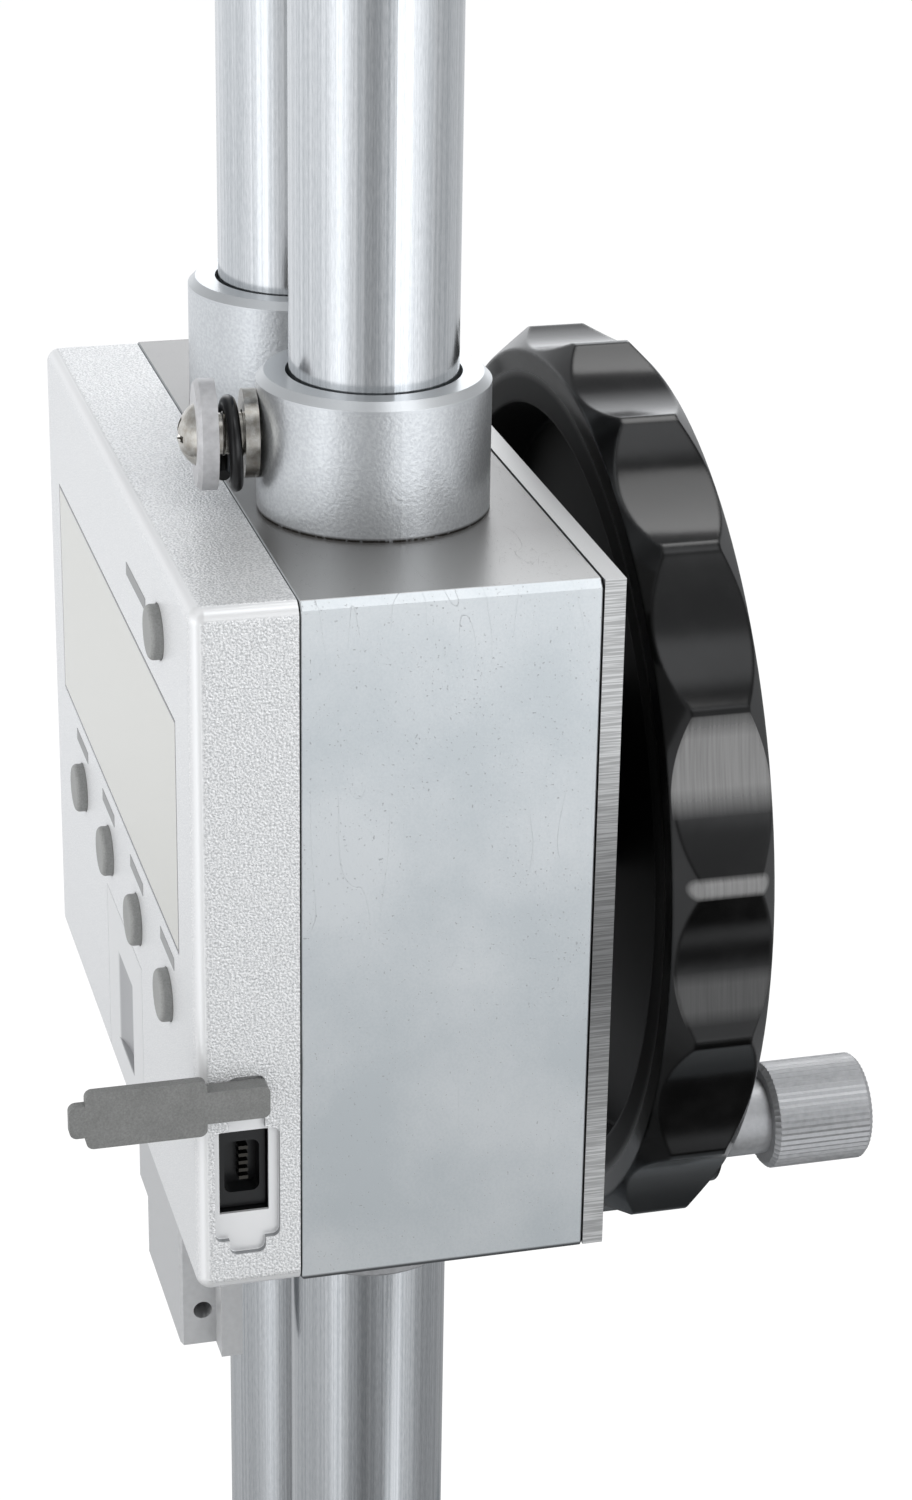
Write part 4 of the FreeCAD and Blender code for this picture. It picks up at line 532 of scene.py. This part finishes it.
# %% Polished wheel
def polished_phenolic_finish():
    material, tree, shader = finish("polished_phenolic", "#0C0C0D", 0.14, Specular_IOR_Level=0.35)
    axle = (wheel_low + wheel_high) / 2
    place = add(tree, "TexCoord").outputs["Object"]
    centred = add(tree, "Mapping", {"Vector": place, "Location": (-axle.x, 0, -axle.z), "Scale": (1, 0, 1)})
    radius = add(tree, "VectorMath", {0: centred}, operation="LENGTH").outputs["Value"]
    dish_edge, rim_start = 52 * MM, 54 * MM
    rim = add(tree, "MapRange", {"Value": radius, "From Min": dish_edge, "From Max": rim_start})
    dust = film_and_painted_highlights(tree, place, axle)
    around = add(tree, "Mapping", {"Vector": place, "Scale": (per(9), per(0.3), per(9))})
    lines = add(tree, "TexNoise", {"Vector": around, "Scale": 1.0, "Detail": 2.0})
    rubbed = add(tree, "MapRange", {"Value": lines, "From Min": 0.3, "From Max": 0.7, "To Min": 0.43,
                                    "To Max": 0.57})
    on_rim = add(tree, "Math", {0: dust, 1: rim}, operation="MULTIPLY")
    film_and_highlight = add(tree, "Math", {0: on_rim, 1: rubbed}, operation="MULTIPLY")
    # The grey is partly a real film and partly painted highlight.
    tint = add(tree, "ValToRGB", {"Fac": film_and_highlight}, stops=[(0.0, colour("#080808")), (0.55, colour("#7C7C7C"))])
    gloss = add(tree, "MapRange", {"Value": film_and_highlight, "From Max": 0.6, "To Min": 0.14, "To Max": 0.4})
    matt = add(tree, "MapRange", {"Value": rim, "To Min": 0.55, "To Max": 0.0})
    roughness = add(tree, "Math", {0: gloss, 1: matt}, operation="MAXIMUM")
    edges = add(tree, "Bevel", {"Radius": 0.7 * MM}, samples=6)
    waves = add(tree, "TexNoise", {"Vector": place, "Scale": per(5), "Detail": 2.0})
    soft = add(tree, "Bump", {"Height": waves, "Distance": 0.05 * MM, "Strength": 0.35, "Normal": edges})
    lift = add(tree, "Bump", {"Height": rubbed, "Distance": 0.004 * MM, "Strength": 0.4, "Normal": soft})
    tree.links.new(tint.outputs["Color"], shader.inputs["Base Color"])
    tree.links.new(roughness.outputs["Value"], shader.inputs["Roughness"])
    tree.links.new(lift.outputs["Normal"], shader.inputs["Normal"])
    return material


polished_phenolic = polished_phenolic_finish()
print("wheel finish:", polished_phenolic.name)

# %% [markdown]
# ## Base: cast iron in grey enamel
#
# The base casting stands below the picture. Such bases are sprayed in a plain grey enamel, which follows
# the casting's faint waviness but hides its grain.


# %% Enamelled casting
def enamelled_casting_finish():
    material, tree, shader = finish("enamelled_iron", "#777C80", 0.32)
    place = add(tree, "TexCoord").outputs["Object"]
    ripple = add(tree, "TexNoise", {"Vector": place, "Scale": per(1.6), "Detail": 2.0})
    lift = add(tree, "Bump", {"Height": ripple, "Distance": 0.05 * MM, "Strength": 0.35})
    clouds = add(tree, "TexNoise", {"Vector": place, "Scale": per(30), "Detail": 2.0})
    tint = add(tree, "ValToRGB", {"Fac": clouds}, stops=[(0.3, colour("#73787C")), (0.7, colour("#7E8387"))])
    tree.links.new(tint.outputs["Color"], shader.inputs["Base Color"])
    tree.links.new(lift.outputs["Normal"], shader.inputs["Normal"])
    return material


enamelled_iron = enamelled_casting_finish()
print("base finish:", enamelled_iron.name)

# %% [markdown]
# ## Each solid gets its finish
#
# A dictionary from finish to the solids that wear it is easy to read and easy to check: the cell stops if
# a solid is left over.

# %% Dress the solids
dressing = {
    enamelled_iron: ["base"],
    ground_steel: ["column_right", "column_left"],
    milled_steel: ["scale_beam", "rack", "pinion_shaft"],
    blackened_steel: ["column_screws", "bridge_screws", "back_plate_screws", "jaw_plate_screws",
                      "jaw_screws", "housing_screws"],
    scale_film: ["scale_strip"],
    plated_aluminium: ["head_block", "top_bridge"],
    wrinkled_coat: ["clamp_collar", "plain_collar"],
    turned_brass: ["clamp_shoe", "upper_bushes", "shaft_bush"],
    sawn_steel: ["back_plate"],
    jaw_steel: ["jaw_plate", "measuring_jaw"],
    etched_lacquer: ["housing"],
    cover_lacquer: ["battery_cover"],
    lens_acrylic: ["lcd_window"],
    display_glass: ["lcd_panel"],
    contact_rubber: ["zebra_strips"],
    board_mask: ["main_board", "reader_board"],
    carrier_abs: ["reader_carrier"],
    socket_nylon: ["port_connector"],
    contact_gilding: ["port_contacts"],
    flap_silicone: ["port_flap"],
    key_silicone: ["button_1", "button_2", "button_3", "button_4", "button_5"],
    spring_steel: ["clamp_spring", "drag_spring"],
    polished_phenolic: ["handwheel"],
    turned_aluminium: ["lower_bushes", "crank_grip", "crank_axle"],
    knob_zinc: ["clamp_knob"],
    bright_nickel: ["clamp_screw", "clamp_washer", "wheel_washer", "wheel_nut", "board_screws",
                    "carrier_screws", "battery", "battery_clips"],
}
for material, names in dressing.items():
    for name in names:
        solids[name].data.materials.clear()
        solids[name].data.materials.append(material)
dressed = {name for names in dressing.values() for name in names}
assert dressed == set(solids), dressed ^ set(solids)
print("dressed solids:", len(dressed))

# %% [markdown]
# ## Pieces of the scene
#
# A new piece is shaped in a bmesh with Blender's own operators. One function then turns the bmesh into an
# object with its finish and hangs it on the part that carries it. Another makes any turned piece: a circle
# is extruded through stages of height and radius, and its last ring is joined to the first one.


# %% Piece helpers
def make_piece(name, shape, material, body):
    """Turns a finished bmesh into an object that rides with a body; edges over 35 degrees stay sharp."""
    mesh = bpy.data.meshes.new(name)
    shape.to_mesh(mesh)
    shape.free()
    mesh.materials.append(material)
    mesh.shade_smooth()
    mesh.set_sharp_from_angle(angle=math.radians(35))
    piece = bpy.data.objects.new(name, mesh)
    bpy.context.scene.collection.objects.link(piece)
    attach(piece, body)
    return piece


def turned_tube(segments, stages):
    """A tube round Z through stages of height and radius in mm, closed from the last to the first."""
    shape = bmesh.new()
    height, radius = stages[0]
    bmesh.ops.create_circle(shape, segments=segments, radius=radius * MM)
    bmesh.ops.translate(shape, verts=shape.verts, vec=(0, 0, height * MM))
    first = last = list(shape.edges)
    for next_height, next_radius in stages[1:]:
        grown = bmesh.ops.extrude_edge_only(shape, edges=last)["geom"]
        last = [item for item in grown if isinstance(item, bmesh.types.BMEdge) and item.is_boundary]
        ring = [item for item in grown if isinstance(item, bmesh.types.BMVert)]
        factor = next_radius / radius
        bmesh.ops.scale(shape, verts=ring, vec=(factor, factor, 1))
        bmesh.ops.translate(shape, verts=ring, vec=(0, 0, (next_height - height) * MM))
        height, radius = next_height, next_radius
    bmesh.ops.bridge_loops(shape, edges=first + last)
    bmesh.ops.recalc_face_normals(shape, faces=shape.faces)
    return shape


print("piece helpers ready")

# %% [markdown]
# ## Knurled crank grip
#
# The grip is turned and then straight knurled: about fifty V-shaped flutes run along it, for the fingers.
# The tube has two points to a flute, and every other line of points on the grip's wall is drawn in by the
# depth of a flute. The neck, the end's pocket and the bore stay round.


# %% Knurled grip
def knurled_grip():
    low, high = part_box("crank_grip")
    length = (high.y - low.y) / MM
    grip, neck, bore, pocket = (high.x - low.x) / 2 / MM, 4.8, 2.54, 4.1
    neck_length, chamfer, pocket_depth = 5.3, 0.6, 2.0
    flutes, flute_depth = 52, 0.19
    shape = turned_tube(2 * flutes, [
        (0, neck), (neck_length, neck), (neck_length, grip - chamfer), (neck_length + chamfer, grip),
        (length - chamfer, grip), (length, grip - chamfer), (length, pocket), (length - pocket_depth, pocket),
        (length - pocket_depth, bore), (0, bore)])
    half_flute = math.pi / flutes
    valleys = [vert for vert in shape.verts
               if vert.co.xy.length > (grip - 2 * chamfer) * MM
               and round(math.atan2(vert.co.y, vert.co.x) / half_flute) % 2]
    inwards = 1 - flute_depth / grip
    bmesh.ops.scale(shape, verts=valleys, vec=(inwards, inwards, 1))
    lay_along_y = Matrix.Rotation(math.radians(-90), 4, "X")
    bmesh.ops.rotate(shape, verts=shape.verts, matrix=lay_along_y)
    middle = (low + high) / 2
    bmesh.ops.translate(shape, verts=shape.verts, vec=(middle.x, low.y, middle.z))
    grip_piece = make_piece("knurled_grip", shape, turned_aluminium, "crank_grip")
    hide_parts("crank_grip")
    return grip_piece


print("grip faces:", len(knurled_grip().data.polygons))

# %% [markdown]
# ## Thread of the clamp screw
#
# Between its knob and the washer the clamp screw shows four turns of its thread. At this size the slope of
# the turns can't be seen, so each is a ridge that runs straight round the shank. The tube zigzags from
# crest to root and closes inside the shank.


# %% Clamp thread
def clamp_thread():
    start, pitch, turns = 15.7, 0.75, 4
    root, crest, inside = 2.3, 2.62, 1.9
    zigzag = [(start + (step + 0.5) * pitch / 2, crest if step % 2 else root) for step in range(2 * turns)]
    shape = turned_tube(40, [(start, inside), *zigzag, (start + turns * pitch, inside)])
    # The screw points from the column's axis towards -Y, turned a little towards -X.
    lock_turn = math.radians(6)
    bmesh.ops.rotate(shape, verts=shape.verts, matrix=Matrix.Rotation(math.radians(90), 4, "X"))
    bmesh.ops.rotate(shape, verts=shape.verts, matrix=Matrix.Rotation(-lock_turn, 4, "Z"))
    column_low, column_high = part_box("column_right")
    knob_low, knob_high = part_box("clamp_knob")
    axis_x = (column_low.x + column_high.x) / 2
    bmesh.ops.translate(shape, verts=shape.verts, vec=(axis_x, 0, (knob_low.z + knob_high.z) / 2))
    return make_piece("clamp_thread", shape, bright_nickel, "clamp")


print("thread faces:", len(clamp_thread().data.polygons))

# %% [markdown]
# ## Marks on the front
#
# A short plain bar of grey print stands over each of four keys on the front, and a longer one beside the
# fifth. Every bar is a thin box let into the face, a twentieth of a millimetre proud.


# %% Printed marks
def printed_marks():
    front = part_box("housing")[0].y
    proud, bar_height = 0.05 * MM, 1.6 * MM
    above_key, beside_key = 1.9 * MM, 11 * MM
    short_bar, long_bar = 9 * MM, 13 * MM
    shape = bmesh.new()
    for number in range(1, 6):
        low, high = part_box(f"button_{number}")
        middle = (low + high) / 2
        if number < 5:
            width = short_bar
            place = Vector((middle.x, front, high.z + above_key))
        else:
            width = long_bar
            place = Vector((low.x - beside_key, front, middle.z))
        bar = bmesh.ops.create_cube(shape, size=1.0)["verts"]
        bmesh.ops.scale(shape, verts=bar, vec=(width, 2 * proud, bar_height))
        bmesh.ops.translate(shape, verts=bar, vec=place)
    return make_piece("printed_marks", shape, key_print, "head")


print("marks:", printed_marks().name)

# %% [markdown]
# ## Floor, background and lamps
#
# The picture is a plain cut-out on white. The world is white to a ray from the camera, a mirror or a lens,
# and dimmer where it lights the gauge. The large floor has to look white and still catch a shadow. So four
# fifths of what the camera sees of it is a light of its own, a tenth over white, and the last fifth is its
# shading. In this studio mirrors see neither, because the floor is hidden from reflections and a light tent,
# which comes next, stands in front of the world.


# %% Floor and world
def straight_look(tree):
    """One where the camera, a mirror or a lens looks straight at a surface, and nothing elsewhere."""
    rays = add(tree, "LightPath").outputs
    either = add(tree, "Math", {0: rays["Is Camera Ray"], 1: rays["Is Glossy Ray"]}, operation="MAXIMUM")
    return add(tree, "Math", {0: either, 1: rays["Is Transmission Ray"]}, operation="MAXIMUM")


def pale_floor():
    mesh = bpy.data.meshes.new("floor")
    plane = bmesh.new()
    bmesh.ops.create_grid(plane, x_segments=1, y_segments=1, size=6.0)
    plane.to_mesh(mesh)
    plane.free()
    floor = bpy.data.objects.new("floor", mesh)
    bpy.context.scene.collection.objects.link(floor)
    material, tree, shader = finish("floor_paper", "#F2F2F2", 0.9)
    own_light, over_white = 0.8, 1.1
    share = add(tree, "Math", {0: straight_look(tree), 1: own_light}, operation="MULTIPLY")
    white = add(tree, "Emission", {"Color": colour("#FFFFFF"), "Strength": over_white})
    mixed = add(tree, "MixShader", {0: share, 1: shader, 2: white})
    tree.links.new(mixed.outputs[0], tree.nodes["Material Output"].inputs["Surface"])
    mesh.materials.append(material)
    floor.visible_glossy = False


def white_world():
    world = bpy.data.worlds.new("studio")
    world.use_nodes = True
    bpy.context.scene.world = world
    tree = world.node_tree
    tree.nodes.clear()
    soft = add(tree, "Background", {"Color": colour("#FFFFFF"), "Strength": 0.62})
    white = add(tree, "Background", {"Color": colour("#FFFFFF"), "Strength": 1.0})
    seen = add(tree, "MixShader", {0: straight_look(tree), 1: soft, 2: white})
    add(tree, "OutputWorld", {"Surface": seen})


pale_floor()
white_world()
print("floor and world ready")

# %% [markdown]
# Polished metal is only as good as what it mirrors, so a light tent stands round the gauge: two bright
# cloths to the sides of the camera, a dim gap between them, and a grey back. Its brightness follows the
# bearing, measured from +X towards +Y, and the height over the horizon. Five bright patches and two dark
# ones are laid over it. They give the chamfers, the wheel's top and the upper part of the block their
# shine, and keep the wheel's foot black. The tent is seen in reflections alone and lights nothing, and
# reflections see it through the floor too, dimmer the lower they point.


# %% Cloth of the light tent
# Both are in metres.
tent_radius, tent_rise = 2.0, 0.2


def tent_cloth_finish():
    material, tree = finish("tent_cloth", "#FFFFFF", 0.9)[:2]
    place = add(tree, "TexCoord").outputs["Object"]
    way = add(tree, "Mapping", {"Vector": place, "Location": (0, 0, -tent_rise)})
    bearing = add(tree, "TexGradient", {"Vector": way}, gradient_type="RADIAL")
    sides = [(-180, 0.6), (-100, 0.58), (-80, 0.66), (-60, 1.0), (-40, 0.48), (-18, 0.24), (-2, 0.34),
             (14, 0.72), (30, 1.0), (48, 0.7), (75, 0.36), (130, 0.4), (180, 0.6)]
    round_stops = [(0.5 + degrees / 360, (level, level, level, 1)) for degrees, level in sides]
    round_about = add(tree, "ValToRGB", {"Fac": bearing}, stops=round_stops)
    unit = add(tree, "VectorMath", {0: way}, operation="NORMALIZE")
    sine = add(tree, "SeparateXYZ", {"Vector": unit}).outputs["Z"]
    height = add(tree, "MapRange", {"Value": sine, "From Min": -1.0, "From Max": 1.0})
    levels = [(-1.0, 0.08), (-0.75, 0.18), (-0.6, 0.52), (-0.5, 0.56), (-0.36, 0.88), (0.1, 1.0), (0.4, 0.58),
              (0.7, 0.45), (0.9, 0.65)]
    up_stops = [(0.5 + value / 2, (level, level, level, 1)) for value, level in levels]
    upwards = add(tree, "ValToRGB", {"Fac": height}, stops=up_stops)
    for ramp in (round_about, upwards):
        ramp.color_ramp.interpolation = "EASE"
    brightest, least = 1.6, 0.02
    room = add(tree, "Math", {0: round_about, 1: upwards}, operation="MULTIPLY")
    total = add(tree, "Math", {0: room, 1: brightest}, operation="MULTIPLY")

    # Each patch has its bearing and height in degrees, the angles over which it fades, and a brightness.
    patches = [(28, 14, 7, 13, 1.2), (162, 15, 10, 25, 1.2), (36, 64, 8, 14, 1.2), (14, -15, 5, 15, 0.45),
               (24, -28, 4, 9, -0.7), (34, -66, 14, 27, -1.2), (30, -37, 2, 7, 0.35)]
    for turn, rise, inner, outer, brightness in patches:
        aim = Matrix.Rotation(math.radians(turn), 3, "Z") @ Matrix.Rotation(-math.radians(rise), 3, "Y")
        facing = add(tree, "VectorMath", {0: unit, 1: aim @ Vector((1, 0, 0))}, operation="DOT_PRODUCT")
        patch = add(tree, "MapRange", {"Value": facing.outputs["Value"], "To Max": brightness,
                                       "From Min": math.cos(math.radians(outer)),
                                       "From Max": math.cos(math.radians(inner))})
        total = add(tree, "Math", {0: total, 1: patch}, operation="ADD")
    strength = add(tree, "Math", {0: total, 1: least}, operation="MAXIMUM")
    light = add(tree, "Emission", {"Color": colour("#FAFCFF"), "Strength": strength})
    tree.links.new(light.outputs[0], tree.nodes["Material Output"].inputs["Surface"])
    return material


tent_cloth = tent_cloth_finish()
print("tent cloth has", len(tent_cloth.node_tree.nodes), "nodes")


# %% Light tent
def light_tent():
    mesh = bpy.data.meshes.new("light_tent")
    sphere = bmesh.new()
    bmesh.ops.create_uvsphere(sphere, u_segments=48, v_segments=24, radius=tent_radius)
    bmesh.ops.translate(sphere, verts=sphere.verts, vec=(0, 0, tent_rise))
    sphere.to_mesh(mesh)
    sphere.free()
    mesh.materials.append(tent_cloth)
    tent = bpy.data.objects.new("light_tent", mesh)
    bpy.context.scene.collection.objects.link(tent)
    tent.visible_camera = False
    tent.visible_diffuse = False
    tent.visible_transmission = False
    tent.visible_volume_scatter = False
    tent.visible_shadow = False
    return tent


print("light tent:", [round(length, 2) for length in light_tent().dimensions], "m")

# %% [markdown]
# Three soft lamps light the gauge: a key from its right, a broad fill from its front and a top lamp from
# behind. The tent gives the reflections of the first two, so only the top lamp is mirrored.


# %% Lamps
def softbox(name, bearing, height, distance, size, power, mirrored):
    """A soft lamp that looks at the head from a bearing measured from +X towards +Y."""
    lamp = bpy.data.lights.new(name, "AREA")
    lamp.size = size
    lamp.energy = power
    holder = bpy.data.objects.new(name, lamp)
    bpy.context.scene.collection.objects.link(holder)
    turn = math.radians(bearing)
    head_middle = Vector((0, 0, 0.21))
    holder.location = Vector((math.cos(turn) * distance, math.sin(turn) * distance, height))
    holder.rotation_euler = (head_middle - holder.location).to_track_quat("-Z", "Y").to_euler()
    holder.visible_glossy = mirrored


softbox("key_lamp", 25, 0.6, 0.8, 0.5, 3.0, mirrored=False)
softbox("fill_lamp", -85, 0.5, 1.0, 0.8, 6.5, mirrored=False)
softbox("top_lamp", 125, 1.1, 0.45, 0.5, 2.8, mirrored=True)

# %% [markdown]
# ## Camera
#
# The camera stands to the gauge's right and looks slightly down, close enough for strong perspective. Its
# place and angle were worked out from the block's edges, which meet at right angles, and from the columns,
# whose diameter sets the scale.

# %% Camera and colour handling
camera_place = Vector((398.75, -91.68, 384.96)) * MM
camera_angles = [math.radians(v) for v in (66.928, -0.900, 75.213)]
camera = bpy.data.objects.new("camera", bpy.data.cameras.new("camera"))
camera.data.lens = 82.93
camera.data.sensor_width = 36
camera.location = camera_place
camera.rotation_euler = camera_angles
bpy.context.scene.collection.objects.link(camera)
bpy.context.scene.camera = camera
bpy.context.scene.view_settings.view_transform = "Standard"
print("camera stands", round(camera_place.length, 3), "m from the origin")
